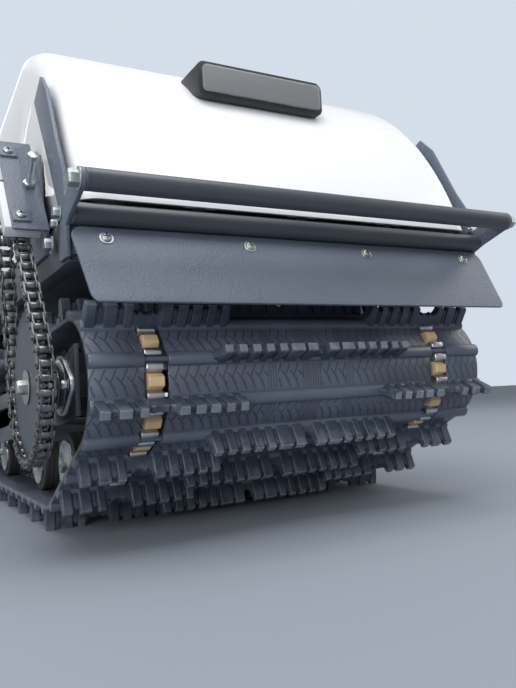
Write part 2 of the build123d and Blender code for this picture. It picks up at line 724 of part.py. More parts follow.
def make_body():
    """Side rails, floor over the track, rear member, deck, cargo rails and rear flap."""
    length = (RAIL_FRONT, RAIL_REAR)
    for name, side in zip(("left", "right"), (-1, 1)):
        with BuildPart() as rail:
            web = sorted((side * (RAIL_X - SHEET), side * RAIL_X))
            flange = sorted((side * (RAIL_X - RAIL_FLANGE), side * RAIL_X))
            block(web, length, (RAIL_LOW, RAIL_HIGH))
            block(flange, length, (RAIL_LOW, RAIL_LOW + SHEET))
            block(flange, length, (RAIL_HIGH - SHEET, RAIL_HIGH))
        save(rail, f"side_rail_{name}")
    inside = (-RAIL_X + SHEET, RAIL_X - SHEET)
    floor_low = RAIL_LOW + SHEET
    with BuildPart() as floor:
        block(inside, (RAIL_FRONT, DECK_FRONT), (floor_low, floor_low + SHEET))
    save(floor, "engine_floor")
    with BuildPart() as member:
        block(inside, (RAIL_REAR - REAR_MEMBER, RAIL_REAR), (floor_low, RAIL_HIGH - SHEET))
    save(member, "rear_cross_member")
    lip = (RAIL_HIGH, RAIL_HIGH + DECK_LIP)
    with BuildPart() as deck:
        block((-RAIL_X, RAIL_X), (DECK_FRONT, RAIL_REAR), (RAIL_HIGH, DECK_TOP))
        for limits in both_sides(RAIL_X - SHEET, RAIL_X):
            block(limits, (DECK_FRONT, PIVOT_Y - EAR_FOOT), lip)
        block((-RAIL_X, RAIL_X), (DECK_FRONT, DECK_FRONT + SHEET), lip)
    save(deck, "rear_deck")
    make_cargo_rails()
    low = RAIL_LOW - SHEET
    flap = (
        (RAIL_REAR - REAR_FLAP_TAB, RAIL_LOW), (RAIL_REAR, RAIL_LOW),
        (RAIL_REAR + REAR_FLAP_REACH, RAIL_LOW - REAR_FLAP_DROP),
        (RAIL_REAR + REAR_FLAP_REACH - SHEET, low - REAR_FLAP_DROP),
        (RAIL_REAR - SHEET, low), (RAIL_REAR - REAR_FLAP_TAB, low),
    )
    with BuildPart() as rear_flap:
        sheet_x(flap, (-RAIL_X, RAIL_X))
    save(rear_flap, "rear_flap")


def make_cargo_rails():
    """Two low bent rails on the deck, to lash a load to."""
    high = DECK_TOP + CARGO_RAIL_UP
    front, rear = along(DECK_FRONT + CARGO_RAIL_INSET), along(CARGO_RAIL_REAR)
    with BuildPart() as cargo:
        for side in (-1, 1):
            x = side * (RAIL_X - CARGO_RAIL_INSET)
            corners = ((x, front, DECK_TOP), (x, front, high), (x, rear, high), (x, rear, DECK_TOP))
            with BuildLine() as route:
                FilletPolyline(*corners, radius=CARGO_RAIL_BEND)
            with BuildSketch(Plane(origin=corners[0], z_dir=(0, 0, 1))) as ring:
                Circle(CARGO_RAIL_RADIUS)
            sweep(ring.sketch, path=route.line)
    save(cargo, "cargo_rails")


def make_bumper():
    """Bumper bars and the side brackets that carry them and rise along the hood."""
    bars = (("top", TOP_BAR_Y, TOP_BAR_Z), ("lower", LOW_BAR_Y, LOW_BAR_Z))
    for name, y, z in bars:
        with BuildPart() as bar:
            rod_x((y, z), BAR_RADIUS, (-RAIL_X, RAIL_X))
        save(bar, f"bumper_{name}_bar")
    outline = (
        (TOP_BAR_Y, TOP_BAR_Z - BAR_RADIUS), (TOP_BAR_Y, TOP_BAR_Z + BAR_RADIUS),
        (TOP_BAR_Y + BAR_RADIUS + BRACKET_NOSE, TOP_BAR_Z + BAR_RADIUS),
        *BRACKET_FRONT, *BRACKET_HEAD, *BRACKET_REAR, *BRACKET_FOOT,
    )
    for name, limits in zip(("left", "right"), both_sides(RAIL_X, RAIL_X + BRACKET)):
        with BuildPart() as bracket:
            sheet_x(outline, limits)
            rod_x((TOP_BAR_Y, TOP_BAR_Z), BAR_RADIUS, limits)
        save(bracket, f"bumper_bracket_{name}")


def flap_point(down, behind):
    """A point so far down the flap's slope and so far behind its face."""
    reach = hypot(FLAP_LOW_Y - FLAP_TOP_Y, FLAP_LOW_Z - FLAP_TOP_Z)
    slope_y = (FLAP_LOW_Y - FLAP_TOP_Y) / reach
    slope_z = (FLAP_LOW_Z - FLAP_TOP_Z) / reach
    return FLAP_TOP_Y + down * slope_y - behind * slope_z, FLAP_TOP_Z + down * slope_z + behind * slope_y


def make_front():
    """Strip across the front with the hood's hinges, and the flap on its gussets."""
    front = RAIL_FRONT - SHEET
    with BuildPart() as strip:
        block((-RAIL_X, RAIL_X), (front, RAIL_FRONT), (STRIP_LOW, STRIP_TOP))
        for x in (-TAB_X, 0, TAB_X):
            block(about(x, TAB_WIDTH), (front, RAIL_FRONT), (STRIP_TOP, HINGE_Z))
            block(about(x, TAB_WIDTH), (HINGE_Y, front), (HINGE_Z - HINGE_RADIUS, HINGE_Z))
            rod_x((HINGE_Y, HINGE_Z), HINGE_RADIUS, about(x, TAB_WIDTH))
            rod_x((HINGE_Y, HINGE_Z), HINGE_PIN, about(x, TAB_WIDTH + 2 * KNUCKLE))
        for x in FLAP_SCREWS:
            gusset = (
                (front, flap_point(0, SHEET)[1]), flap_point(0, SHEET), flap_point(GUSSET_DROP, SHEET),
                (front, flap_point(GUSSET_DROP, SHEET)[1]),
            )
            sheet_x(gusset, about(x, GUSSET))
    save(strip, "slotted_strip")
    drop = hypot(FLAP_LOW_Y - FLAP_TOP_Y, FLAP_LOW_Z - FLAP_TOP_Z)
    profile = (flap_point(0, 0), flap_point(drop, 0), flap_point(drop, SHEET), flap_point(0, SHEET))
    with BuildPart() as flap:
        sheet_x(profile, (-FLAP_HALF, FLAP_HALF))
        with BuildSketch(Plane.XZ.offset(-along(0))) as shape:
            with BuildLine():
                Polyline(
                    (-FLAP_HALF, FLAP_TOP_Z), (FLAP_HALF, FLAP_TOP_Z),
                    (FLAP_LOW_HALF, FLAP_LOW_Z - SHEET), (-FLAP_LOW_HALF, FLAP_LOW_Z - SHEET),
                    close=True,
                )
            make_face()
            fillet(shape.vertices().group_by(Axis.Z)[0], FLAP_CORNER)
        extrude(shape.sketch, amount=FLAP_HALF, both=True, mode=Mode.INTERSECT)
    save(flap, "front_flap")


def hood_form(inset):
    """The hood's outer form, or its inside when inset by the wall."""
    low = HOOD_LOW - inset
    half = HOOD_HALF - inset
    with BuildPart() as form:
        with BuildSketch(Plane.YZ.offset(-half)) as side:
            with BuildLine():
                start = (along(HOOD_FRONT + inset), low)
                knee = (along(HOOD_KNEE_Y + inset), HOOD_KNEE_Z)
                crown = (along(HOOD_CROWN_Y), HOOD_TOP - inset)
                back = (along(HOOD_REAR - HOOD_BACK_LEAN - inset), HOOD_TOP - HOOD_BACK_DROP - inset)
                heel = (along(HOOD_REAR - inset), low)
                front = ThreePointArc(start, (along(HOOD_BELLY_Y + inset), HOOD_BELLY_Z), knee)
                TangentArc(knee, crown, tangent=front % 1)
                Line(crown, back)
                Line(back, heel)
                Line(heel, start)
            make_face()
            shoulder = side.vertices().sort_by(Axis.Y)[-2:].sort_by(Axis.Z)[-1]
            fillet(shoulder, HOOD_SHOULDER - inset)
        extrude(side.sketch, amount=2 * half)
        rims = form.faces().filter_by(Axis.X).edges().filter_by(lambda edge: edge.center().Z > low + 1)
        fillet(rims, HOOD_ROUND - inset)
    return form.part


def make_hood():
    """Hollow hood with its hinge knuckles, side vents and a notch for the shaft housing."""
    wall_at_hinge = HOOD_FRONT + HOOD_WALL / 2
    first = VENT_Z - VENT_SPACING * (VENTS - 1) / 2
    outer, inner = hood_form(0.0), hood_form(HOOD_WALL)
    with BuildPart() as hood:
        add(outer)
        add(inner, mode=Mode.SUBTRACT)
        block(
            (-HOOD_HALF - 1, -HOOD_HALF + HOOD_ROUND), about(UPPER_Y, 2 * NOTCH),
            (HOOD_LOW - 1, UPPER_Z + NOTCH), Mode.SUBTRACT,
        )
        for vent in range(VENTS):
            z = first + VENT_SPACING * vent
            for limits in both_sides(HOOD_HALF - 2 * HOOD_WALL, HOOD_HALF + 1):
                block(limits, about(VENT_Y, VENT_LENGTH), about(z, VENT_HEIGHT), Mode.SUBTRACT)
        for x in (-TAB_X, 0, TAB_X):
            inside, outside = TAB_WIDTH / 2 + RUNNING_GAP, TAB_WIDTH / 2 + KNUCKLE
            for low, high in both_sides(inside, outside):
                limits = (x + low, x + high)
                block(limits, (wall_at_hinge, HINGE_Y), about(HINGE_Z, HINGE_RADIUS))
                rod_x((HINGE_Y, HINGE_Z), HINGE_RADIUS, limits)
                rod_x((HINGE_Y, HINGE_Z), HINGE_PIN + SLIP, limits, Mode.SUBTRACT)
    save(hood, "hood")
    with BuildPart() as buffers:
        for limits in both_sides(HOOD_HALF - BUFFER / 2, HOOD_HALF + HOOD_WALL):
            block(limits, about(BUFFER_Y, BUFFER), (RAIL_HIGH, HOOD_LOW - RUNNING_GAP))
    save(buffers, "hood_buffers")
    lamp_height = (LAMP_LOW, LAMP_HIGH)
    with BuildPart() as pod:
        block((-LAMP_HALF, LAMP_HALF), (LAMP_FRONT, HOOD_CROWN_Y / 2), lamp_height)
        fillet(pod.edges().filter_by(Axis.Y), 2 * LENS)
        add(hood_form(0.0), mode=Mode.SUBTRACT)
    save(pod, "headlight_pod")
    lens_half = LAMP_HALF - LENS_BORDER
    lens_height = (LAMP_LOW + LENS_BORDER, LAMP_HIGH - LENS_BORDER)
    with BuildPart() as lens:
        block((-lens_half, lens_half), (LAMP_FRONT - LENS, LAMP_FRONT), lens_height)
        fillet(lens.edges().filter_by(Axis.Y), LENS)
    save(lens, "headlight_lens")


def make_engine():
    """Engine as one block, and the drive belt's guard on the right side."""
    floor_top = RAIL_LOW + 2 * SHEET
    with BuildPart() as engine:
        top = HOOD_TOP - ENGINE_BELOW_TOP
        block((-ENGINE_HALF, ENGINE_HALF), (ENGINE_FRONT, ENGINE_REAR), (floor_top, top))
    save(engine, "engine_block")
    circles = (
        (GUARD_FRONT_Y, GUARD_Z, GUARD_FRONT_RADIUS), (GUARD_REAR_Y, GUARD_Z, GUARD_REAR_RADIUS),
    )
    low = RAIL_LOW + RAIL_FLANGE
    foot = (
        (GUARD_FRONT_Y + GUARD_FOOT, low), (GUARD_REAR_Y - GUARD_FOOT, low),
        (GUARD_REAR_Y, GUARD_Z), (GUARD_FRONT_Y, GUARD_Z),
    )
    with BuildPart() as guard:
        sheet_x(loop_outline(circles, 0.0, BELT_STEP), (OUTSIDE, GUARD_REACH))
        sheet_x(foot, (RAIL_X, OUTSIDE))
        chamfer(guard.faces().sort_by(Axis.X)[-1].edges(), PLATE)
    save(guard, "belt_guard")


LEAN_Y, LEAN_Z = HANDLE_BEND_Y - PIVOT_Y, HANDLE_BEND_Z - PIVOT_Z
ARM_LENGTH = hypot(LEAN_Y, LEAN_Z)
TILT = radians(GRIP_RISE)
GRIP_TIP_Y = GRIP_REACH - GRIP_RADIUS * sin(TILT)
UPPER_LENGTH = (GRIP_TIP_Y - HANDLE_BEND_Y) / cos(TILT)


def on_arm(distance):
    """A point on the arm's straight, so far from its pivot."""
    share = distance / ARM_LENGTH
    return PIVOT_Y + LEAN_Y * share, PIVOT_Z + LEAN_Z * share


def on_grip(forward, above=0.0):
    """A point measured from the bend along the grip's line, and square to it."""
    y = HANDLE_BEND_Y + forward * cos(TILT) - above * sin(TILT)
    return y, HANDLE_BEND_Z + forward * sin(TILT) + above * cos(TILT)


def grip_plane(side, forward):
    """A plane across the grip's line on one side."""
    y, z = on_grip(forward)
    return Plane(
        origin=(side * HANDLE_X, along(y), z), x_dir=(1, 0, 0), z_dir=(0, cos(TILT), sin(TILT))
    )


def make_handlebar():
    """Folding handlebar: two bent tubes on pivot bosses, joined by a crossbar."""
    tube_end = UPPER_LENGTH - GRIP_END
    with BuildPart() as handlebar:
        for side in (-1, 1):
            x = side * HANDLE_X
            y, z = on_grip(tube_end)
            corners = (
                (x, along(PIVOT_Y), PIVOT_Z), (x, along(HANDLE_BEND_Y), HANDLE_BEND_Z), (x, along(y), z),
            )
            with BuildLine() as route:
                FilletPolyline(*corners, radius=HANDLE_BEND_RADIUS)
            with BuildSketch(Plane(origin=corners[0], z_dir=(0, LEAN_Y, LEAN_Z))) as ring:
                Circle(HANDLE_TUBE)
            sweep(ring.sketch, path=route.line)
            wide = about(x, 2 * HANDLE_TUBE)
            rod_x((PIVOT_Y, PIVOT_Z), BOSS_RADIUS, wide)
            rod_x((PIVOT_Y, PIVOT_Z), PIVOT_RADIUS + SLIP, wide, Mode.SUBTRACT)
        rod_x(on_arm(ARM_LENGTH - CROSSBAR_DROP), CROSSBAR_RADIUS, (-HANDLE_X, HANDLE_X))
    save(handlebar, "handlebar")
    with BuildPart() as grips:
        for side in (-1, 1):
            with BuildSketch(grip_plane(side, UPPER_LENGTH - GRIP_LENGTH)) as section:
                Circle(GRIP_RADIUS)
            extrude(section.sketch, amount=GRIP_LENGTH)
            with BuildSketch(grip_plane(side, UPPER_LENGTH - GRIP_LENGTH)) as bore:
                Circle(HANDLE_TUBE + SLIP)
            extrude(bore.sketch, amount=GRIP_LENGTH - GRIP_END, mode=Mode.SUBTRACT)
    save(grips, "hand_grips")
    make_controls()
    with BuildPart() as brackets:
        outline = (
            (PIVOT_Y - EAR_FOOT / 2, DECK_TOP), (PIVOT_Y + EAR_FOOT / 2, DECK_TOP),
            (PIVOT_Y + EAR_TOP, PIVOT_Z + EAR_TOP),
            (PIVOT_Y - EAR_TOP, PIVOT_Z + EAR_TOP),
        )
        ear = HANDLE_TUBE + RUNNING_GAP
        for x in (-HANDLE_X, HANDLE_X):
            sheet_x(outline, (x - ear - EAR, x - ear))
            sheet_x(outline, (x + ear, x + ear + EAR))
            rod_x((PIVOT_Y, PIVOT_Z), PIVOT_RADIUS, (x - ear - EAR, x + ear + EAR))
    save(brackets, "pivot_brackets")


def make_controls():
    """Console on the crossbar and a lever below each grip."""
    centre = ARM_LENGTH - CROSSBAR_DROP
    side_y, side_z = LEAN_Z / ARM_LENGTH, -LEAN_Y / ARM_LENGTH
    corners = []
    for run, out in ((-1, -1), (1, -1), (1, 1), (-1, 1)):
        y, z = on_arm(centre + run * CONSOLE_LENGTH / 2)
        out *= CONSOLE_THICK / 2
        corners.append((y + out * side_y, z + out * side_z))
    with BuildPart() as console:
        sheet_x(corners, (-CONSOLE_HALF, CONSOLE_HALF), corner=CROSSBAR_RADIUS / 2)
        limits = (-CONSOLE_HALF, CONSOLE_HALF)
        rod_x(on_arm(centre), CROSSBAR_RADIUS + SLIP, limits, Mode.SUBTRACT)
    save(console, "control_console")
    start = UPPER_LENGTH - GRIP_LENGTH - LEVER_CLAMP - RUNNING_GAP
    outline = (
        on_grip(start, 0), on_grip(start + LEVER_CLAMP, 0),
        on_grip(start + LEVER_CLAMP, -LEVER_DROP + LEVER_WIDTH),
        on_grip(start + LEVER_REACH, -LEVER_DROP), on_grip(start + LEVER_REACH, -LEVER_DROP - LEVER_WIDTH),
        on_grip(start, -LEVER_DROP),
    )
    with BuildPart() as levers:
        for side in (-1, 1):
            sheet_x(outline, about(side * HANDLE_X, LEVER_WIDTH))
            with BuildSketch(grip_plane(side, start)) as clamp:
                Circle(GRIP_RADIUS)
            extrude(clamp.sketch, amount=LEVER_CLAMP)
            with BuildSketch(grip_plane(side, start)) as bore:
                Circle(HANDLE_TUBE + SLIP)
            extrude(bore.sketch, amount=LEVER_CLAMP, mode=Mode.SUBTRACT)
    save(levers, "control_levers")


def make_coupler():
    """Hitch plates behind the rear member, with a swinging coupler on their pin."""
    half = COUPLER_THICK / 2
    inner = half + RUNNING_GAP
    with BuildPart() as bracket:
        for low, high in ((HITCH_Z - inner - HITCH_PLATE, HITCH_Z - inner),
                          (HITCH_Z + inner, HITCH_Z + inner + HITCH_PLATE)):
            block((-HITCH_HALF, HITCH_HALF), (RAIL_REAR, HITCH_Y + HITCH_PAST), (low, high))
            rod_z(HITCH_Y, PIN_RADIUS + SLIP, (low, high), Mode.SUBTRACT)
    save(bracket, "hitch_bracket")
    top = HITCH_Z + inner + HITCH_PLATE
    with BuildPart() as pin:
        rod_z(HITCH_Y, PIN_RADIUS, (HITCH_Z - inner - HITCH_PLATE - PIN_HEAD, top + PIN_HEAD))
        rod_z(HITCH_Y, PIN_HEAD_RADIUS, (top, top + PIN_HEAD))
    save(pin, "hitch_pin")
    eye = HITCH_Y + COUPLER_REACH
    thick = (HITCH_Z - half, HITCH_Z + half)
    with BuildPart() as coupler:
        block((-COUPLER_HALF, COUPLER_HALF), (HITCH_Y, eye), thick)
        for y, hole in ((HITCH_Y, PIN_RADIUS + SLIP), (eye, EYE_RADIUS)):
            rod_z(y, COUPLER_HALF, thick)
            rod_z(y, hole, thick, Mode.SUBTRACT)
    save(coupler, "tow_coupler")


os.makedirs("parts", exist_ok=True)
make_track()
make_clips()
make_drive_sprockets()
make_drive_shaft()
make_wheels()
make_track_frame()
make_chain()
make_cross_shaft()
make_chain_cover()
make_body()
make_bumper()
make_front()
make_hood()
make_engine()
make_handlebar()
make_coupler()
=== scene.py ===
"""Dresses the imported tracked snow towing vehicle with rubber, plate, coat and plastic surfaces."""

import json
from math import asin, atan2, cos, hypot, pi, radians, sin, sqrt, tau

import bmesh
import bpy
import numpy as np
from bpy.props import FloatProperty, FloatVectorProperty, PointerProperty
from mathutils import Matrix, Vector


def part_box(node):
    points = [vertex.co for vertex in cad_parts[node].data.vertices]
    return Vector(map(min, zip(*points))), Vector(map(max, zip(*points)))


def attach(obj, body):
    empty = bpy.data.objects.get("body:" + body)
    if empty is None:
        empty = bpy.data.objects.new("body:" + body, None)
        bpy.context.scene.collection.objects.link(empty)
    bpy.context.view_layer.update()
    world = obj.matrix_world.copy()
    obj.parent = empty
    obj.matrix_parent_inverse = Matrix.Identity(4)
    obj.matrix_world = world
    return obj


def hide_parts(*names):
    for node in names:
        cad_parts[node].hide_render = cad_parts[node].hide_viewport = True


bl_info = {
    "name": "Tracked snow towing vehicle looks",
    "version": (1, 0, 0),
    "blender": (4, 5, 0),
    "location": "3D View > Sidebar > Snow tow",
    "description": "Dresses the packed machine with moulded rubber, roller chain, coated plate and plastic",
    "category": "Object",
}

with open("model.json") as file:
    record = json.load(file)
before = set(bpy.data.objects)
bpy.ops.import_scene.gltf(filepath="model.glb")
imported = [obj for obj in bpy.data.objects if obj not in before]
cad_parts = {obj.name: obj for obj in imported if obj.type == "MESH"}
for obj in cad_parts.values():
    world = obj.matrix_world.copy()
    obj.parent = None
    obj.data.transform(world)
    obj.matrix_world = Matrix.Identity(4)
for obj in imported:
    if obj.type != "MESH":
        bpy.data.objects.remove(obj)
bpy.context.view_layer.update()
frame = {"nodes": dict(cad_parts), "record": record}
NODES = frame["nodes"]
SLOT_OF = {part["node"]: part["material_slot"] for part in frame["record"]["subparts"]}
BODY_OF = {node: body for body, nodes in frame["record"]["behaviour"]["bodies"].items() for node in nodes}

# Lengths are in mm; Y is counted from the drum's axis and Z from the ground.
MM = 0.001
Y_DRUM = -661.0
DRUM_Z = 200.0
PITCH = 50.5
LINKS = 58
BELT_HALF = 3.0
BELT_MID = PITCH * 10 / tau
FIRST_ROW_ANGLE = radians(163.4)
STRIPS = ((-300.0, -235.0), (-205.0, 205.0), (235.0, 300.0))
WINDOWS = ((-235.0, -205.0), (205.0, 235.0))
CLIPS = ((-233.5, -212.0), (212.0, 233.5))
STATIONS = (165.0, 360.0, 690.0, 1020.0)
ROLLER_RADIUS = 50.0
IDLER_RADIUS = 88.0
CHAIN_X = -347.0
CHAIN_PITCH = 15.875
CHAIN_LINKS = 58
BIG_TEETH = 35
SMALL_TEETH = 15


def middle(node):
    """Centre of a node's box, in mm from the drum and the ground."""
    low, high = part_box(node)
    x, y, z = ((a + b) / 2 / MM for a, b in zip(low, high))
    return x, y - Y_DRUM, z


IDLER_Y, IDLER_Z = middle("rear_idlers")[1:]
UPPER_Y, UPPER_Z = middle("cross_shaft")[1:]
ROLLER_Z = middle("road_rollers")[2]
LUG_HEIGHT = ROLLER_Z - ROLLER_RADIUS - 2 * BELT_HALF


# Shapes


def turns(count):
    """So many angles, evenly spread over a full turn."""
    return np.linspace(0, tau, count, endpoint=False)


def joined(*columns):
    """Columns side by side, each stretched to the shape that they share."""
    return np.stack(np.broadcast_arrays(*columns), -1)


def around_wheels(wheels):
    """Loop round wheels (y, z, radius), taken counter-clockwise.

    The straight between two wheels heads as their centres do, plus the arcsine of the difference of
    their radii over their distance. Each wheel's arc turns from one straight's heading to the next.
    """
    wheels = list(wheels)
    headings = []
    straights = []
    for (y1, z1, r1), (y2, z2, r2) in zip(wheels, wheels[1:] + wheels[:1]):
        apart = hypot(y2 - y1, z2 - z1)
        headings.append(atan2(z2 - z1, y2 - y1) + asin((r1 - r2) / apart))
        straights.append(sqrt(apart**2 - (r1 - r2) ** 2))
    rows = []
    start = 0.0
    for index, (y, z, radius) in enumerate(wheels):
        arriving, leaving = headings[index - 1], headings[index]
        turn = (leaving - arriving) % tau
        rows.append((start, arriving, 1 / radius, y + radius * sin(arriving), z - radius * cos(arriving)))
        start += radius * turn
        rows.append((start, leaving, 0.0, y + radius * sin(leaving), z - radius * cos(leaving)))
        start += straights[index]
    return np.array(rows), start


def along(loop, distance):
    """Place and heading at distances along a loop.

    On a straight the place moves by distance times the heading. On an arc the heading grows by
    distance times the bend, and the place by the chord, (sin, -cos) of the heading over the bend.
    """
    rows, total = loop
    distance = np.mod(distance, total)
    found = rows[np.searchsorted(rows[:, 0], distance, side="right") - 1]
    start, heading, bend, y, z = np.moveaxis(found, -1, 0)
    gone = distance - start
    facing = heading + bend * gone
    safe = np.where(bend == 0, 1, bend)
    y = y + np.where(bend == 0, gone * np.cos(heading), (np.sin(facing) - np.sin(heading)) / safe)
    z = z + np.where(bend == 0, gone * np.sin(heading), (np.cos(heading) - np.cos(facing)) / safe)
    return y, z, facing


def on_loop(loop, at, across, travel, out, *marks):
    """Rigid shapes set on a loop: each is turned with the heading at its own place."""
    y, z, facing = along(loop, at)
    across, travel, out = np.broadcast_arrays(across, travel, out)
    y = y + travel * np.cos(facing) + out * np.sin(facing)
    z = z + travel * np.sin(facing) - out * np.cos(facing)
    return joined(across, y, z, *marks)


def lofted(rings, looped=False):
    """Closed skins over rings of points, shaped (copies, rings, corners, columns).

    Quads join each ring to the next. Flat ends close the first and last ring, or the last ring joins
    the first. Faces are turned outwards by the sign of the volume that they enclose.
    """
    rings = np.asarray(rings, float)
    if rings.ndim == 3:
        rings = rings[None]
    copies, count, corners, columns = rings.shape
    ring = np.arange(count if looped else count - 1)[:, None] * corners
    after = (ring + corners) % (count * corners)
    corner = np.arange(corners)
    beside = np.roll(corner, -1)
    quads = np.stack((ring + corner, ring + beside, after + beside, after + corner), -1).reshape(-1, 4)
    tables = [quads]
    if not looped:
        tables.append(np.stack((corner[::-1], (count - 1) * corners + corner)))
    places = rings.reshape(copies, -1, columns)
    xyz = places[..., :3] - places[..., :3].mean(1, keepdims=True)
    volume = np.zeros(copies)
    for table in tables:
        fan = xyz[:, table]
        for k in range(1, table.shape[1] - 1):
            cross = np.cross(fan[:, :, k], fan[:, :, k + 1])
            volume += np.einsum("bfi,bfi->b", fan[:, :, 0], cross)
    shift = (np.arange(copies) * count * corners)[:, None, None]
    faces = []
    for table in tables:
        whole = table[None] + shift
        whole[volume < 0] = whole[volume < 0][:, :, ::-1]
        faces.append(whole.reshape(-1, table.shape[1]))
    return places.reshape(-1, columns), faces


def turned_rings(profile, axis, sides=48):
    """Rings of a turned part: each (x, radius) of the profile becomes a circle round an axis along X."""
    x, radius = np.array(profile, float).T[:, :, None]
    angle = turns(sides)
    return joined(x, axis[0] + radius * np.cos(angle), axis[1] + radius * np.sin(angle))


def turned(profile, axis, sides=48):
    """Turned part, closed by flat ends at the profile's first and last place."""
    return lofted(turned_rings(profile, axis, sides))


def turned_ring(section, axis, sides=64):
    """Turned part with a hole: its closed section is carried round the axis."""
    return lofted(np.swapaxes(turned_rings(section, axis, sides), 0, 1), looped=True)


def stood(rings, origin, direction):
    """Stands rings of (side, side, height) on an origin, with height along the direction."""
    height = np.array(direction, float)
    height /= np.linalg.norm(height)
    side = np.cross(height, (0.0, 0.0, 1.0) if abs(height[2]) < 0.9 else (1.0, 0.0, 0.0))
    side /= np.linalg.norm(side)
    basis = np.stack((side, np.cross(height, side), height))
    return np.asarray(rings) @ basis + np.array(origin, float)


def head(steps, sides, origin, direction, turn=0.0):
    """Solid of steps (radius, height), stood on an origin along a direction."""
    radius, height = np.array(steps, float).T[:, :, None]
    angle = turns(sides) + turn
    rings = joined(radius * np.cos(angle), radius * np.sin(angle), height)
    return lofted(stood(rings, origin, direction))


def hex_bolt(origin, direction, across, washer=None):
    """Hexagon head with a chamfered crown and a shallow dimple, on a washer with a rounded rim."""
    skins = []
    base = 0.0
    if washer:
        base = 1.6
        inner = washer - 0.5
        rim = ((inner, 0.0), (washer, 0.5), (washer, 1.1), (inner, base), (washer * 0.5, base))
        skins.append(head(rim, 32, origin, direction))
    corner = across / sqrt(3)
    top = base + across * 0.62
    sides = ((corner, base - 0.4), (corner, top - 0.12 * across), (corner * 0.86, top))
    skins.append(head(sides, 6, origin, direction, 0.3))
    crown = ((corner * 0.8, top - 0.1), (corner * 0.78, top + 0.35), (corner * 0.5, top + 0.1))
    skins.append(head(crown, 24, origin, direction))
    return skins


SCREW_SHARES = (1.0, 1.0, 0.96, 0.88, 0.78, 0.68, 0.66, 0.55, 0.45, 0.35, 0.27, 0.2, 0.12, 0.04)


def pan_screw(origin, direction, radius):
    """Low domed screw head with a cross recess.

    Height over a polar grid is a quarter ellipse in the radius; inside the cross, where the smaller
    side distance is under a sixth of the radius, it drops by four fifths of the head.
    """
    rings = []
    high = radius * 0.55
    angle = turns(96)
    for index, share in enumerate(SCREW_SHARES):
        reach = radius * share
        sides = np.stack((reach * np.cos(angle), reach * np.sin(angle)), -1)
        level = 0.0 if index == 0 else high * sqrt(max(0.0, 1 - share**2)) * 0.75 + high * 0.25
        near = np.abs(sides).min(1) < radius / 6
        sunk = near & (share < 0.67)
        rings.append(np.concatenate((sides, np.where(sunk, level - high * 0.8, level)[:, None]), 1))
    return [lofted(stood(np.array(rings), origin, direction))]


# Pieces


def new_piece(name, skins, finish, stands_for=(), mark=None, angle=40.0, wrap=0.0):
    """Joins skins into one mesh in metres, with its place in its vertices.

    It takes the slot of the first node that it stands for, unless it is given one. A skin's column
    A skin's column past X, Y and Z becomes a point attribute called by the mark. With a wrap, its two
    columns past them make a UV map, which counts on past the loop's seam by that length.
    """
    points = []
    faces = []
    first = 0
    for places, tables in skins:
        points.append(places)
        faces.extend(table + first for table in tables)
        first += len(places)
    points = np.concatenate(points)
    mesh = bpy.data.meshes.new(name)
    mesh.vertices.add(len(points))
    xyz = (points[:, :3] + (0.0, Y_DRUM, 0.0)) * MM
    mesh.vertices.foreach_set("co", xyz.astype(np.float32).ravel())
    corners = np.concatenate([table.ravel() for table in faces])
    totals = np.concatenate([np.full(len(table), table.shape[1]) for table in faces])
    starts = np.concatenate(((0,), np.cumsum(totals)[:-1]))
    mesh.loops.add(len(corners))
    mesh.loops.foreach_set("vertex_index", corners.astype(np.int32))
    mesh.polygons.add(len(totals))
    mesh.polygons.foreach_set("loop_start", starts.astype(np.int32))
    mesh.polygons.foreach_set("loop_total", totals.astype(np.int32))
    mesh.update(calc_edges=True)
    if mark:
        values = mesh.attributes.new(mark, "FLOAT", "POINT")
        values.data.foreach_set("value", points[:, 3].astype(np.float32))
    if wrap:
        u, v = points[corners, 3:5].T
        highest = np.repeat(np.maximum.reduceat(v, starts), totals)
        v = np.where(highest - v > wrap / 2, v + wrap, v)
        layer = mesh.uv_layers.new(name="travel")
        layer.data.foreach_set("uv", np.stack((u, v), -1).astype(np.float32).ravel())
    mesh.validate()
    mesh.shade_smooth()
    mesh.set_sharp_from_angle(angle=radians(angle))
    shown(name, mesh, FINISHES[finish], "root", stands_for)


def in_scene(name, data):
    """Object of a mesh, lamp or camera, linked into the scene."""
    made = bpy.data.objects.new(name, data)
    bpy.context.scene.collection.objects.link(made)
    return made


def shown(name, mesh, finish, body, stands_for):
    """Puts a finished mesh into the scene on its body, with its material."""
    piece = in_scene(name, mesh)
    mesh.materials.append(finish)
    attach(piece, body)
    if stands_for:
        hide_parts(*stands_for)


# In degrees: edges past the first are rounded over, and what stays past the second is shaded sharp.
EDGE_ANGLE = 35.0
SHARP_ANGLE = 32.0


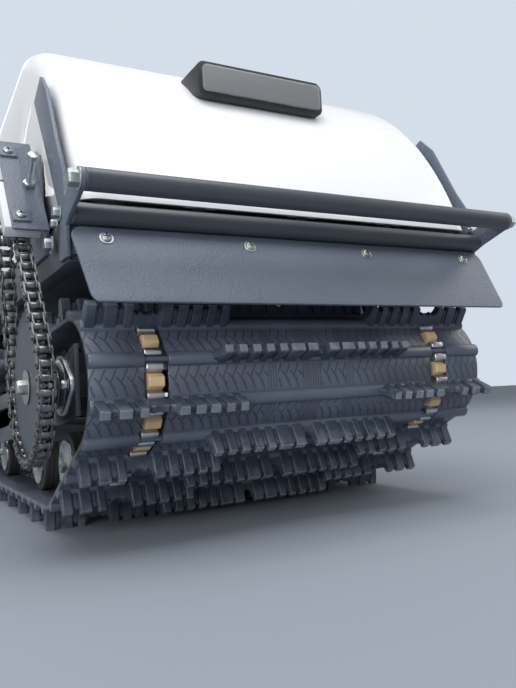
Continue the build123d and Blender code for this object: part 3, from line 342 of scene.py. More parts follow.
def softened(node, edge, finish):
    """Dressed copy of a plate or tube: doubles merged, flat facets joined and edges rounded over."""
    name = node + "_dressed"
    work = bmesh.new()
    work.from_mesh(NODES[node].data)
    bmesh.ops.remove_doubles(work, verts=work.verts, dist=2e-6)
    bmesh.ops.dissolve_limit(work, angle_limit=radians(0.7), verts=work.verts, edges=work.edges)
    bmesh.ops.recalc_face_normals(work, faces=work.faces)
    mesh = bpy.data.meshes.new(name)
    work.to_mesh(mesh)
    work.free()
    draft = in_scene(name + "_draft", mesh)
    rounding = draft.modifiers.new("edges", "BEVEL")
    rounding.width = edge * MM
    rounding.segments = 2
    rounding.limit_method = "ANGLE"
    rounding.angle_limit = radians(EDGE_ANGLE)
    rounding.miter_outer = "MITER_ARC"
    graph = bpy.context.evaluated_depsgraph_get()
    rounded = bpy.data.meshes.new_from_object(draft.evaluated_get(graph))
    bpy.data.objects.remove(draft)
    rounded.name = name
    rounded.materials.clear()
    for kind in ("sharp_edge", "sharp_face", "custom_normal"):
        if kind in rounded.attributes:
            rounded.attributes.remove(rounded.attributes[kind])
    rounded.shade_smooth()
    rounded.set_sharp_from_angle(angle=radians(SHARP_ANGLE))
    shown(name, rounded, finish, BODY_OF[node], (node,))


# Finishes


class Finish:
    """A node material: one principled shader, fed by patterns on the object's own coordinates."""

    def __init__(self, name, colour, rough, metallic=0.0):
        self.material = bpy.data.materials.new(name)
        self.material.use_nodes = True
        self.tree = self.material.node_tree
        self.shader = self.tree.nodes["Principled BSDF"]
        self.colour = (*colour, 1.0)
        self.set("Base Color", self.colour)
        self.set("Roughness", rough)
        self.set("Metallic", metallic)
        self.place = self.node("ShaderNodeTexCoord").outputs["Object"]

    def set(self, socket, value):
        """Sets a constant on the shader's own socket."""
        self.shader.inputs[socket].default_value = value

    def node(self, kind, inputs=None, **settings):
        """Adds a node; an input that is a socket is linked, and any other is a constant."""
        made = self.tree.nodes.new(kind)
        for key, value in settings.items():
            setattr(made, key, value)
        for key, value in (inputs or {}).items():
            if isinstance(value, bpy.types.NodeSocket):
                self.tree.links.new(value, made.inputs[key])
            else:
                made.inputs[key].default_value = value
        return made

    def feed(self, socket, output):
        """Links an output to one of the shader's sockets."""
        self.tree.links.new(output, self.shader.inputs[socket])

    def sum(self, operation, *values):
        """One step of arithmetic."""
        return self.node("ShaderNodeMath", dict(enumerate(values)), operation=operation).outputs[0]

    def off_middle(self, value):
        """How far a value lies from the middle of its unit cell."""
        return self.sum("ABSOLUTE", self.sum("SUBTRACT", self.sum("FRACT", value), 0.5))

    def noise(self, size, detail=2.0, stretch=None, roughness=0.5):
        """Noise whose grains are about this many mm across, longer along a stretched axis."""
        place = self.place
        if stretch:
            place = self.node("ShaderNodeMapping", {"Vector": place, "Scale": stretch}).outputs[0]
        inputs = {"Vector": place, "Scale": 1 / (size * MM * 2), "Detail": detail, "Roughness": roughness}
        return self.node("ShaderNodeTexNoise", inputs).outputs[0]

    def spread(self, value, low, high, to_low=0.0, to_high=1.0):
        """Maps a span of values to another, kept within it."""
        names = ("Value", "From Min", "From Max", "To Min", "To Max")
        inputs = dict(zip(names, (value, low, high, to_low, to_high)))
        return self.node("ShaderNodeMapRange", inputs).outputs[0]

    def blend(self, share, first, second):
        """Mixes two colours by a share."""
        inputs = {0: share, 6: first, 7: second}
        return self.node("ShaderNodeMix", inputs, data_type="RGBA").outputs[2]

    def shaded(self, factor):
        """The base colour made darker or lighter by a factor."""
        return tuple(min(1.0, part * factor) for part in self.colour[:3]) + (1.0,)

    def mottled(self, size, amount, rough=None):
        """Slow change of colour, and of roughness too where its span is given."""
        slow = self.noise(size, 4.0)
        share = self.spread(slow, 0.3, 0.7)
        self.feed("Base Color", self.blend(share, self.shaded(1 - amount), self.shaded(1 + amount)))
        if rough:
            self.feed("Roughness", self.spread(slow, 0.3, 0.7, *rough))
        return share

    def raised(self, height, depth, before=None):
        """Bump of a depth in mm from a height between 0 and 1."""
        inputs = {"Height": height, "Strength": 1.0, "Distance": depth * MM}
        if before is not None:
            inputs["Normal"] = before
        bump = self.node("ShaderNodeBump", inputs).outputs[0]
        self.feed("Normal", bump)
        return bump


def coat(name, colour, rough, grain, depth, slow=60.0, amount=0.08, crinkle=None):
    """Powder coat: fine orange peel of a grain and depth in mm, over slowly changing colour.

    A crinkle adds a coarser grain, as (size, depth), where a textured powder has flowed.
    """
    finish = Finish(name, colour, rough)
    finish.mottled(slow, amount, (rough - 0.05, rough + 0.07))
    bump = finish.raised(finish.noise(grain, 3.0, roughness=0.6), depth)
    if crinkle:
        size, deep = crinkle
        finish.raised(finish.spread(finish.noise(size, 2.0, roughness=0.55), 0.35, 0.65), deep, bump)
    return finish.material


def metal(name, colour, rough, slow=14.0, amount=0.1, grain=0.8, depth=0.03, stretch=None):
    """Bare or plated metal: cloudy tint and roughness, with fine tool or casting marks."""
    finish = Finish(name, colour, rough, 1.0)
    finish.mottled(slow, amount, (rough - 0.07, rough + 0.12))
    finish.raised(finish.noise(grain, 3.0, stretch), depth)
    return finish.material


def moulded(name, colour, rough, grain, depth, amount=0.06):
    """Moulded rubber or plastic: a faint cloud in the colour and a fine matt grain."""
    finish = Finish(name, colour, rough)
    finish.mottled(35.0, amount, (rough - 0.06, rough + 0.08))
    finish.raised(finish.noise(grain, 4.0, roughness=0.65), depth)
    return finish.material


# Lengths in the belt's map: across in 100 mm, along in rows.
CHEVRON_WIDTH = 0.128
ARM_SLOPE = 2.0
DASH_SLOPE = 3.4
RIB_WIDTH = 0.038
RIB_BANDS = ((-0.63, 0.07), (-0.03, 0.14), (0.58, 0.07))
GROOVE_DEPTH = 0.9


def belt_rubber(colour):
    """Belt rubber: between rods, cut chevrons with a short dash in each, and bands of fine ribs, their cuts
    darkened as painted shade.

    With c as the place across in chevrons and f as the place between two rods from -1/2 to 1/2, an
    arm runs where c - 2 |f| is near the middle of a cell, and a dash where c - 3.4 f is.
    """
    finish = Finish("belt_rubber", colour, 0.4)
    share = finish.mottled(40.0, 0.22, (0.3, 0.46))
    chart = finish.node("ShaderNodeUVMap", uv_map="travel").outputs[0]
    split = finish.node("ShaderNodeSeparateXYZ", {0: chart})
    across, travel = split.outputs[0], split.outputs[1]
    lengthwise = finish.sum("SUBTRACT", finish.sum("FRACT", travel), 0.5)
    inside = finish.sum("ABSOLUTE", lengthwise)
    cells = finish.sum("DIVIDE", across, CHEVRON_WIDTH)
    arms = finish.sum("SUBTRACT", cells, finish.sum("MULTIPLY", inside, ARM_SLOPE))
    dashes = finish.sum("SUBTRACT", cells, finish.sum("MULTIPLY", lengthwise, DASH_SLOPE))
    arm = finish.spread(finish.off_middle(arms), 0.05, 0.1, 1.0, 0.0)
    dash = finish.spread(finish.off_middle(dashes), 0.05, 0.1, 1.0, 0.0)
    dash = finish.sum("MULTIPLY", dash, finish.spread(inside, 0.11, 0.13, 1.0, 0.0))
    cut = finish.sum("MAXIMUM", arm, dash)
    ribs = finish.off_middle(finish.sum("DIVIDE", across, RIB_WIDTH))
    rib = finish.spread(ribs, 0.12, 0.2, 1.0, 0.0)
    for place, half in RIB_BANDS:
        away = finish.sum("ABSOLUTE", finish.sum("SUBTRACT", across, place))
        cut = finish.blend(finish.spread(away, half, half + 0.004, 1.0, 0.0), cut, rib)
    groove = finish.sum("MULTIPLY", cut, finish.spread(inside, 0.29, 0.31, 1.0, 0.0))
    base = finish.blend(share, finish.shaded(0.8), finish.shaded(1.25))
    # Painted shade: the chevron, dash and rib cuts are darkened towards 0.35 of the base colour, as shade
    # in the grooves.
    finish.feed("Base Color", finish.blend(finish.sum("MULTIPLY", groove, 0.6), base, finish.shaded(0.35)))
    bump = finish.raised(finish.sum("SUBTRACT", 1.0, groove), GROOVE_DEPTH)
    finish.raised(finish.noise(1.2, 4.0), 0.12, bump)
    return finish.material


def lug_rubber(colour, dust):
    """Lug rubber: moulded skin, its tips greyed by dust that gathers in the grain."""
    finish = Finish("lug_rubber", colour, 0.44)
    height = finish.node("ShaderNodeAttribute", attribute_name="height").outputs["Fac"]
    cloud = finish.noise(9.0, 5.0, roughness=0.7)
    slow = finish.noise(120.0, 2.0)
    rising = finish.spread(height, 0.4, 0.95, 0.0, 0.45)
    side = finish.sum("MULTIPLY", rising, finish.spread(cloud, 0.4, 0.65))
    top = finish.spread(height, 0.95, 0.99)
    crown = finish.sum("MULTIPLY", top, finish.spread(cloud, 0.3, 0.52, 0.35, 1.0))
    patches = finish.spread(slow, 0.3, 0.6, 0.4, 1.0)
    dusty = finish.sum("MULTIPLY", finish.sum("MAXIMUM", side, crown), patches)
    base = finish.blend(finish.spread(cloud, 0.3, 0.7), finish.shaded(0.85), finish.shaded(1.6))
    finish.feed("Base Color", finish.blend(dusty, base, (*dust, 1.0)))
    finish.feed("Roughness", finish.spread(dusty, 0.0, 1.0, 0.42, 0.8))
    finish.raised(finish.noise(0.9, 4.0), 0.1)
    return finish.material


def cast_plastic(colour):
    """Uncoloured cast plastic: warm, faintly speckled, with a saw-cut face."""
    finish = Finish("cast_plastic", colour, 0.5)
    cloud = finish.noise(22.0, 4.0)
    speck = finish.spread(finish.noise(1.6, 3.0, roughness=0.8), 0.58, 0.72)
    base = finish.blend(finish.spread(cloud, 0.3, 0.7), finish.shaded(0.86), finish.shaded(1.1))
    finish.feed("Base Color", finish.blend(finish.sum("MULTIPLY", speck, 0.35), base, finish.shaded(0.55)))
    finish.raised(finish.noise(0.8, 4.0, stretch=(1.0, 1.0, 0.2)), 0.14)
    finish.set("Subsurface Weight", 0.05)
    finish.set("Subsurface Radius", (0.004, 0.002, 0.001))
    return finish.material


def gloss_shell(colour):
    """Gloss moulded shell: clean white with a clear coat and the faintest waviness."""
    finish = Finish("gloss_shell", colour, 0.28)
    finish.mottled(180.0, 0.015, (0.24, 0.34))
    finish.raised(finish.noise(30.0, 2.0), 0.05)
    finish.set("Coat Weight", 0.35)
    finish.set("Coat Roughness", 0.08)
    return finish.material


def lamp_lens(colour):
    """Clear lens: slightly milky, so that the pod behind its ribs shows."""
    finish = Finish("lamp_lens", colour, 0.08)
    finish.set("Transmission Weight", 0.75)
    finish.set("IOR", 1.49)
    finish.raised(finish.noise(3.0, 2.0), 0.05)
    return finish.material


FINISHES = {}


def make_finishes():
    """All finishes: those named as a slot are what its nodes wear, and the others are extra."""
    tones = bpy.context.scene.snow_tow_colours
    FINISHES.update(
        track_rubber=belt_rubber(tones.belt),
        lug=lug_rubber(tones.rubber, tones.dust),
        tyre_rubber=moulded("tyre_compound", (0.028, 0.028, 0.03), 0.6, 0.7, 0.1, 0.15),
        grip=moulded("grip_compound", (0.022, 0.022, 0.024), 0.62, 0.5, 0.08, 0.12),
        zinc=metal("bright_zinc", tones.zinc, 0.34, 9.0, 0.14, 2.0, 0.012),
        plain_steel=metal("turned_steel", (0.50, 0.50, 0.51), 0.32, 20.0, 0.08, 0.5, 0.03, (1.0, 6.0, 6.0)),
        chain_steel=metal("oiled_chain_steel", (0.17, 0.17, 0.178), 0.34, 5.0, 0.35, 0.9, 0.02),
        roller=metal("worn_chain_rollers", (0.2, 0.2, 0.205), 0.3, 4.0, 0.35, 0.9, 0.02),
        casting=metal("grey_casting", (0.30, 0.31, 0.32), 0.55, 12.0, 0.12, 1.0, 0.2),
        bolt=metal("passivated_bolts", tones.bolts, 0.36, 7.0, 0.2, 2.0, 0.015),
        cap=metal("pressed_caps", tones.bolts, 0.3, 8.0, 0.45, 5.0, 0.09),
        disc=coat("blued_disc", tones.disc, 0.42, 0.5, 0.05, 22.0, 0.12),
        black_paint=coat("black_powder_coat", tones.black_coat, 0.36, 1.0, 0.06),
        slate_paint=coat("slate_powder_coat", tones.slate_coat, 0.42, 0.65, 0.12, 45.0, 0.09, (1.4, 0.3)),
        black_plastic=moulded("black_moulding", (0.026, 0.026, 0.028), 0.48, 0.5, 0.06),
        guide_plastic=moulded("pale_guide_plastic", (0.56, 0.59, 0.62), 0.42, 0.9, 0.07),
        natural_plastic=cast_plastic(tones.cast_plastic),
        white_plastic=gloss_shell(tones.shell),
        clear_lens=lamp_lens((0.88, 0.9, 0.92)),
    )


def belt_loop():
    """The belt's middle line round drum, ground rollers and idler, and its rods' places on it."""
    ground = [(station, ROLLER_Z, ROLLER_RADIUS + BELT_HALF) for station in (STATIONS[0], STATIONS[-1])]
    wheels = ((0.0, DRUM_Z, BELT_MID), *ground, (IDLER_Y, IDLER_Z, IDLER_RADIUS + BELT_HALF))
    loop = around_wheels(wheels)
    first = BELT_MID * (FIRST_ROW_ANGLE - (loop[0][0, 1] - pi / 2))
    return loop, first + loop[1] / LINKS * np.arange(LINKS)


def chain_loop():
    """The chain's pin line round its two wheels."""
    big = CHAIN_PITCH / (2 * sin(pi / BIG_TEETH))
    small = CHAIN_PITCH / (2 * sin(pi / SMALL_TEETH))
    return around_wheels(((0.0, DRUM_Z, big), (UPPER_Y, UPPER_Z, small))), big, small


# Belt


RIDGE_REACH = 8.7
RIDGE_RISE = 8.0
RIDGE_STEPS = (-25.25, -17.0, -12.5, -8.7, -8.2, -6.6, -4.0, 0.0, 4.0, 6.6, 8.2, 8.7, 12.5, 17.0)


def belt_strip(loop, rods, limits):
    """One strip of the belt: a rounded flat section, raised by half an ellipse over each rod."""
    x1, x2 = limits
    step = np.array(RIDGE_STEPS)
    rise = RIDGE_RISE * np.sqrt(np.clip(1 - (step / RIDGE_REACH) ** 2, 0, None))
    at = (rods[:, None] + step).ravel()
    count = (np.arange(LINKS)[:, None] + step / PITCH).ravel()
    rise = np.tile(rise, LINKS)[:, None]
    x = np.array((x1, x1 + 0.8, x2 - 0.8, x2, x2, x2 - 1.2, x1 + 1.2, x1))
    out = np.array((-2.2, -BELT_HALF, -BELT_HALF, -2.2, 2.0, BELT_HALF, BELT_HALF, 2.0))
    raised = np.array((0, 0, 0, 0, 1, 1, 1, 1))
    rings = on_loop(loop, at[:, None], x, 0.0, out + rise * raised, x / 100, count[:, None])
    return lofted(rings, looped=True)


def rod_cores(loop, rods):
    """Rubber-covered rods across the windows: an ellipse between the folds of each clip."""
    t = np.array((-3.9, -3.4, -2.1, 0.0, 2.1, 3.4, 3.9, 3.2, -3.2))
    n = np.array((-1.0, 4.8, 6.8, 7.5, 6.8, 4.8, -1.0, -3.4, -3.4))
    skins = []
    for x1, x2 in WINDOWS:
        at = rods[:, None, None]
        x = np.array((x1 - 0.5, x2 + 0.5))[:, None]
        skins.append(lofted(on_loop(loop, at, x, t, n, x / 100, 0 * at)))
    return skins


def lug_stations(fingers):
    """Stations across a row: place, inset of both sides, share of the height.

    Each finger stands at full height. Between two fingers lies a groove with one low rib in it.
    """
    table = []
    for index, (x1, x2) in enumerate(fingers):
        if index:
            last = fingers[index - 1][1]
            mid = (last + x1) / 2
            table += [
                (last + 0.5, 3.0, 0.80), (mid - 1.4, 3.0, 0.79), (mid - 0.9, 1.6, 0.83),
                (mid + 0.9, 1.6, 0.83), (mid + 1.4, 3.0, 0.79), (x1 - 0.5, 3.0, 0.80),
            ]
        table += [(x1, 0.7, 0.97), (x1 + 1.0, 0.0, 1.0), (x2 - 1.0, 0.0, 1.0), (x2, 0.7, 0.97)]
    return np.array(table)


def lug_row(loop, at, stations, height):
    """Rows of one pattern: an eight-cornered section, wider at its foot, lofted across the belt."""
    x, inset, share = (column[:, None] for column in stations.T)
    foot = 8.6 - inset
    tip = 5.6 - inset * 0.7
    t = np.concatenate((-foot, -tip - 0.4, -tip + 1.3, tip - 1.3, tip + 0.4, foot, foot, -foot), 1)
    up = height * share
    foot_top = np.full_like(up, BELT_HALF + 1.5)
    middle_line = np.zeros_like(up)
    shoulder = up * 0.93 + BELT_HALF
    crown = up + BELT_HALF
    n = np.concatenate((foot_top, shoulder, crown, crown, shoulder, foot_top, middle_line, middle_line), 1)
    return lofted(on_loop(loop, at[:, None, None], x, t, n, n / (height + BELT_HALF)))


# Fingers by their limits across; the rest as stations, the ends counted from the last finger.
CENTRE_FINGERS = ((9, 24), (29, 49), (55, 66), (74, 85), (93, 104), (112, 123), (131, 142))
SIDE_INNER = ((114, 124), (132, 143), (151, 164), (170, 183), (190, 203))
SIDE_OUTER = ((240, 250), (259, 274), (284, 296.5))
ROW_END = ((0.5, 1.0, 0.88), (2.0, 2.0, 0.58), (4.5, 2.6, 0.38), (9.0, 3.4, 0.2))
ARCH = ((-8.5, 1.6, 0.74), (-6.0, 2.2, 0.52), (0.0, 2.6, 0.42), (6.0, 2.2, 0.52), (8.5, 1.6, 0.74))
WEB = (
    (204.0, 1.4, 0.76), (207.0, 1.8, 0.64), (210.0, 2.0, 0.60), (213.5, 1.6, 0.67), (217.0, 2.0, 0.60),
    (221.5, 2.2, 0.57), (226.0, 2.0, 0.60), (229.5, 1.6, 0.67), (233.0, 2.0, 0.60), (236.0, 1.8, 0.64),
    (239.0, 1.4, 0.76),
)


def make_belt():
    """Belt strips, rods, and both patterns of lug rows."""
    loop, rods = belt_loop()
    height = bpy.context.scene.snow_tow_sizes.lug_height / MM
    skins = [belt_strip(loop, rods, limits) for limits in STRIPS] + rod_cores(loop, rods)
    new_piece("track_belt", skins, "track_rubber", ("track",), angle=50, wrap=LINKS)
    mirror = (-1.0, 1.0, 1.0)
    end = np.array(ROW_END)
    half = np.concatenate((lug_stations(CENTRE_FINGERS), end + (CENTRE_FINGERS[-1][1], 0.0, 0.0)))
    centre = np.concatenate((half[::-1] * mirror, ARCH, half))
    start = end[::-1] * mirror + (SIDE_INNER[0][0], 0.0, 0.0)
    side = np.concatenate((start, lug_stations(SIDE_INNER), WEB, lug_stations(SIDE_OUTER)))
    skins = [lug_row(loop, rods[0::2], centre, height)]
    for flip in (1.0, -1.0):
        skins.append(lug_row(loop, rods[1::2], side * (flip, 1.0, 1.0), height))
    new_piece("track_lugs", skins, "lug", ("track",), mark="height", angle=30)


def make_clips():
    """Clips at the belt's windows: sheet folded over the edges, with a hump on each side of the rod."""
    loop, rods = belt_loop()
    t = np.array((-14.4, -14.4, -14.2, -13.5, -11.8, -9.2, -6.6, -5.0, -4.4, -4.2, -2.0, 0.0))
    n = np.array((-3.2, 2.0, 4.8, 6.4, 7.3, 7.7, 7.5, 6.8, 5.6, 1.0, 0.8, 0.8))
    t = np.concatenate((t, -t[-2::-1]))
    n = np.concatenate((n, n[-2::-1]))
    at = rods[:, None, None]
    skins = []
    for x1, x2 in CLIPS:
        x = np.array((x1, x1 + 0.5, x1 + 1.4, x2 - 1.4, x2 - 0.5, x2))[:, None]
        down = np.array((1.2, 0.35, 0.0, 0.0, 0.35, 1.2))[:, None]
        skins.append(lofted(on_loop(loop, at, x, t, n - down)))
    new_piece("belt_clips", skins, "zinc", ("track_clips",), angle=50)


# Running gear


def toothed_wheel(axis, x, half, radius_at, section, corners):
    """Wheel whose outer radius follows an angle, and whose section is the same on both faces.

    From the bore outwards, the section holds (x share of the half width, radius or None, drop from
    the outer radius).
    """
    section = [(-share, *rest) for share, *rest in section] + list(section[::-1])
    angle = turns(corners)
    outer = radius_at(angle)
    rings = []
    for share, radius, drop in section:
        reach = outer - drop if radius is None else radius
        y = axis[0] + reach * np.cos(angle)
        z = axis[1] + reach * np.sin(angle)
        rings.append(joined(x + share * half, y, z))
    return lofted(np.swapaxes(np.array(rings), 0, 1), looped=True)


TEETH = 10
TOOTH_AWAY = (0, 3.2, 3.9, 8.4, 10.4, 18)
TOOTH_REACH = (87.6, 87.6, 87.0, 75.5, 71.0, 71.0)
DRIVE_WHEEL_X = 221.2
DRIVE_WHEEL_HALF = 9.8
DRIVE_WHEEL = (
    (2.05, 17.2, 0), (2.05, 32.6, 0), (1.95, 34.0, 0), (0.75, 34.0, 0), (0.70, 35.5, 0),
    (0.70, 53.0, 0), (1.0, 56.0, 0), (1.0, None, 1.2), (0.88, None, 0),
)


def make_drive_wheels():
    """Drive sprockets: ten blunt teeth between the rods, a milled web and a hub on the shaft."""
    def reach(angle):
        tooth = np.mod((angle - FIRST_ROW_ANGLE) / (tau / TEETH), 1.0)
        return np.interp(np.abs(tooth - 0.5) * 36.0, TOOTH_AWAY, TOOTH_REACH)

    skins = []
    for x in (-DRIVE_WHEEL_X, DRIVE_WHEEL_X):
        skins.append(toothed_wheel((0.0, DRUM_Z), x, DRIVE_WHEEL_HALF, reach, DRIVE_WHEEL, 360))
    new_piece("drive_wheels", skins, "natural_plastic", ("drive_sprockets",), angle=28)


# Profiles of turned parts, as (x, radius).
TYRE = (
    (243, 30), (243, 47), (243.6, 49), (245, 50), (250.2, 50), (250.6, 48.8),
    (252.2, 48.8), (252.6, 50), (257.4, 50), (257.8, 48.8), (259.4, 48.8), (259.8, 50),
    (265, 50), (266.4, 49), (267, 47), (267, 40.6), (266, 40.2), (266, 30),
)
CAP = (
    (264, 40), (268.4, 40), (269.6, 39.3), (270, 38), (269.6, 36.4), (267.8, 33.6),
    (266.6, 28), (266.4, 21), (267, 16), (268.6, 13.4), (269.2, 11.6), (269.2, 5),
)
CAP_BOLT_X = 268.6
IDLER_MID = 175.0
IDLER_HALF = (
    (17, 9), (17, 21), (16, 22), (9, 22), (7, 26), (7, 68), (9, 72),
    (16.2, 73), (17, 74), (17, 86.5), (15.5, 88), (2, 88), (1, 86.8),
)
BEARING_RING = (
    (312, 26), (312, 31), (313.4, 31), (314.6, 30), (316.8, 28.6), (318.2, 27),
    (318.6, 25), (318, 23.4), (316.6, 22.8), (316.6, 21.4), (318.2, 21), (318.6, 19.6),
    (318.6, 15.4), (312, 15.4),
)
FLANGE_BOLT_Y = 40.0
FLANGE_FACE = 312.6
FLANGE_STEPS = ((308, 0), (311.2, 0), (312.4, -0.7), (312.9, -2))
DRIVE_SHAFT = (
    (-350.6, 6), (-350.6, 13.6), (-350.2, 14.8), (-331, 15), (-331, 19.6), (-330, 20),
    (-321, 20), (-320, 19.6), (-320, 15), (320, 15), (320, 19.4), (326.2, 19.4),
    (327, 18.6), (327, 4),
)
CROSS_SHAFT = (
    (-354.8, 5), (-354.8, 11), (-354, 12), (-196, 12), (-195.4, 11), (-195.4, 5),
)
BAR_END = (
    (313, 8), (313, 11.7), (312.4, 12.3), (311.6, 12.5), (309.4, 12.5), (309.2, 12.1),
    (308.6, 12.1), (308.4, 12.5),
)


def on_side(profile, flip):
    """A turned profile on one side of the machine: flip is 1 on the right and -1 on the left."""
    return [(flip * x, radius) for x, radius in profile]


def make_rollers():
    """Road rollers: rounded rubber tyres with two grooves, and dished caps with a bolt at the hub."""
    tyres = []
    caps = []
    for station in STATIONS:
        axis = (station, ROLLER_Z)
        for flip in (1.0, -1.0):
            tyres.append(turned_ring(on_side(TYRE, flip), axis, 72))
            caps.append(turned(on_side(CAP, flip), axis, 64))
            caps += hex_bolt((flip * CAP_BOLT_X, station, ROLLER_Z), (flip, 0, 0), 13.0)
    new_piece("roller_tyres", tyres, "tyre_rubber", ("road_rollers",), angle=35)
    new_piece("roller_caps", caps, "cap", ("roller_hub_caps",), angle=35)
    idler = [(IDLER_MID - x, radius) for x, radius in IDLER_HALF]
    idler += [(IDLER_MID + x, radius) for x, radius in IDLER_HALF[::-1]]
    wheels = [turned_ring(on_side(idler, flip), (IDLER_Y, IDLER_Z), 96) for flip in (1.0, -1.0)]
    new_piece("idler_wheels", wheels, "black_plastic", ("rear_idlers",), angle=30)


def make_bearings():
    """Flanged bearings: a two-bolt diamond plate, a raised ring, the inner race and two bolts."""
    ends = [(y, DRUM_Z, 12.0) for y in (-FLANGE_BOLT_Y, FLANGE_BOLT_Y)]
    boss = (0.0, DRUM_Z, 36.0)
    outline = around_wheels((ends[0], boss, ends[1], boss))
    at = np.linspace(0, outline[1], 96, endpoint=False)
    skins = []
    for flip in (1.0, -1.0):
        skins.append(lofted([on_loop(outline, at, flip * x, 0.0, out) for x, out in FLANGE_STEPS]))
        skins.append(turned_ring(on_side(BEARING_RING, flip), (0.0, DRUM_Z), 72))
        for y in (-FLANGE_BOLT_Y, FLANGE_BOLT_Y):
            skins += hex_bolt((flip * FLANGE_FACE, y, DRUM_Z), (flip, 0, 0), 9.0, 7.4)
    new_piece("flange_bearings", skins, "zinc", ("shaft_bearings",), angle=32)


# Chain, in mm from its own middle: plates as (first link, near side, far side).
PLATES = ((0, 5.0, 7.2), (1, 7.4, 9.6))
PLATE_END = 6.0
PLATE_WAIST = 4.3
ROLLER = ((-4.9, 4.9), (-4.6, 5.05), (4.6, 5.05), (4.9, 4.9))
PIN = ((-11.2, 1.5), (-10.7, 2.9), (10.7, 2.9), (11.2, 1.5))
SEAT_RADIUS = 5.3
SEAT_EDGE = 5.2
FLANK_SLOPE = 1.9
TOOTH_TIP = 4.6
DISC_HALF = 3.0
BIG_DISC = (15.3, 78.0)
SMALL_DISC = (12.2, 26.0)


def chain_disc(axis, teeth, radius, first_pin, bore_and_face, corners):
    """Chain sprocket: a round seat at every pin and straight flanks between, over a flat face.

    The outer radius is the seat's circle seen from the wheel's axis, up to the seat's edge, and then
    a flank that rises with the distance from the pin, up to the tooth's tip.
    """
    turned_to = atan2(first_pin[1], first_pin[0])
    bore, face = bore_and_face

    def reach(angle):
        away = np.mod(angle - turned_to + pi / teeth, tau / teeth) - pi / teeth
        side = radius * np.sin(np.abs(away))
        seat = radius * np.cos(away) - np.sqrt(np.clip(SEAT_RADIUS**2 - side**2, 0, None))
        flank = radius + (side - SEAT_EDGE) * FLANK_SLOPE
        return np.where(side < SEAT_EDGE, seat, np.minimum(flank, radius + TOOTH_TIP))

    section = ((1.0, bore, 0), (1.0, face, 0), (1.0, None, 7.0), (0.55, None, 0))
    return toothed_wheel(axis, CHAIN_X, DISC_HALF, reach, section, corners)


def make_chain():
    """Roller chain: figure-eight plates in two widths, rollers and riveted pins along the pin line."""
    loop, big, small = chain_loop()
    pitch = loop[1] / CHAIN_LINKS
    places = np.stack(along(loop, np.arange(CHAIN_LINKS) * pitch)[:2], -1)
    towards = np.roll(places, -1, 0) - places
    length = np.linalg.norm(towards, axis=1)
    heading = np.arctan2(towards[:, 1], towards[:, 0])
    bow = np.linspace(-pi / 2, pi / 2, 7)
    end = PLATE_END * np.stack((np.cos(bow), np.sin(bow)))
    waist = np.array(((0.0,), (PLATE_WAIST,)))
    ahead, beside = np.concatenate((end, waist, -end, -waist), 1)
    far = np.concatenate((np.ones(7), (0.5,), np.zeros(7), (0.5,)))
    trim = np.array((0.95, 1.0, 1.0, 0.94))[:, None]
    plates = []
    for start, near, wide in PLATES:
        link = slice(start, None, 2)
        span, turn = length[link, None, None], heading[link, None, None]
        foot = places[link][:, None, None]
        forward = far * span + ahead * trim
        aside = beside * trim
        y = foot[..., 0] + forward * np.cos(turn) - aside * np.sin(turn)
        z = foot[..., 1] + forward * np.sin(turn) + aside * np.cos(turn)
        for flip in (1.0, -1.0):
            x = CHAIN_X + flip * np.array((near, near + 0.3, wide - 0.4, wide))[:, None]
            plates.append(lofted(joined(x, y, z)))
    new_piece("chain_plates", plates, "chain_steel", ("drive_chain",), angle=35)
    rollers = []
    for profile in (ROLLER, PIN):
        placed = [(CHAIN_X + x, radius) for x, radius in profile]
        rollers += [turned(placed, place, 12) for place in places]
    new_piece("chain_rollers", rollers, "roller", ("drive_chain",), angle=35)
    drum, upper = np.array((0.0, DRUM_Z)), np.array((UPPER_Y, UPPER_Z))
    nearest = np.argmin(np.hypot(*(places - upper).T))
    discs = [
        chain_disc(drum, BIG_TEETH, big, places[0] - drum, BIG_DISC, 840),
        chain_disc(upper, SMALL_TEETH, small, places[nearest] - upper, SMALL_DISC, 360),
    ]
    new_piece("sprocket_discs", discs, "disc", ("chain_sprockets",), angle=30)


def make_shafts():
    """Drive shaft and cross shaft: ground bars with chamfered ends, a retaining washer and bolt."""
    skins = [turned(DRIVE_SHAFT, (0.0, DRUM_Z), 64), turned(CROSS_SHAFT, (UPPER_Y, UPPER_Z), 48)]
    new_piece("turned_shafts", skins, "plain_steel", ("drive_shaft", "cross_shaft"))
    ends = hex_bolt((DRIVE_SHAFT[0][0], 0.0, DRUM_Z), (-1, 0, 0), 15.0, 20.5)
    ends += hex_bolt((CROSS_SHAFT[0][0], UPPER_Y, UPPER_Z), (-1, 0, 0), 10.0, 13.0)
    new_piece("shaft_end_bolts", ends, "bolt")


# Body


def make_bars():
    """Front bars: drawn tubes whose faced ends have a small chamfer and a scribed line."""
    bar = on_side(BAR_END, -1.0) + on_side(BAR_END[::-1], 1.0)
    stands_for = ("bumper_top_bar", "bumper_lower_bar")
    skins = [turned(bar, middle(node)[1:], 64) for node in stands_for]
    new_piece("front_bars", skins, "black_paint", stands_for, angle=50)


FLAP_TOP = np.array((-85.0, 375.0))
FLAP_FOOT = np.array((-138.0, 283.0))
FLAP_SCREWS = (-276.0, -92.0, 92.0, 276.0)
SCREW_SHARE = 0.155
SCREW_WASHER = ((8.4, 0.0), (8.6, 0.4), (8.2, 1.0), (5.0, 1.2))
PAD_PLACES = (172.0, 298.0)
PAD_FACE = 28.0
PAD_X = CHAIN_X - 2.0
BRACKET_FACE = 318.0
BRACKET_BOLTS = ((-58.5, 395.5, 11.0), (-42.4, 386.7, 9.0), (-13.9, 368.2, 13.0))
HINGE_BOLT = (313.0, -79.0, 411.0)


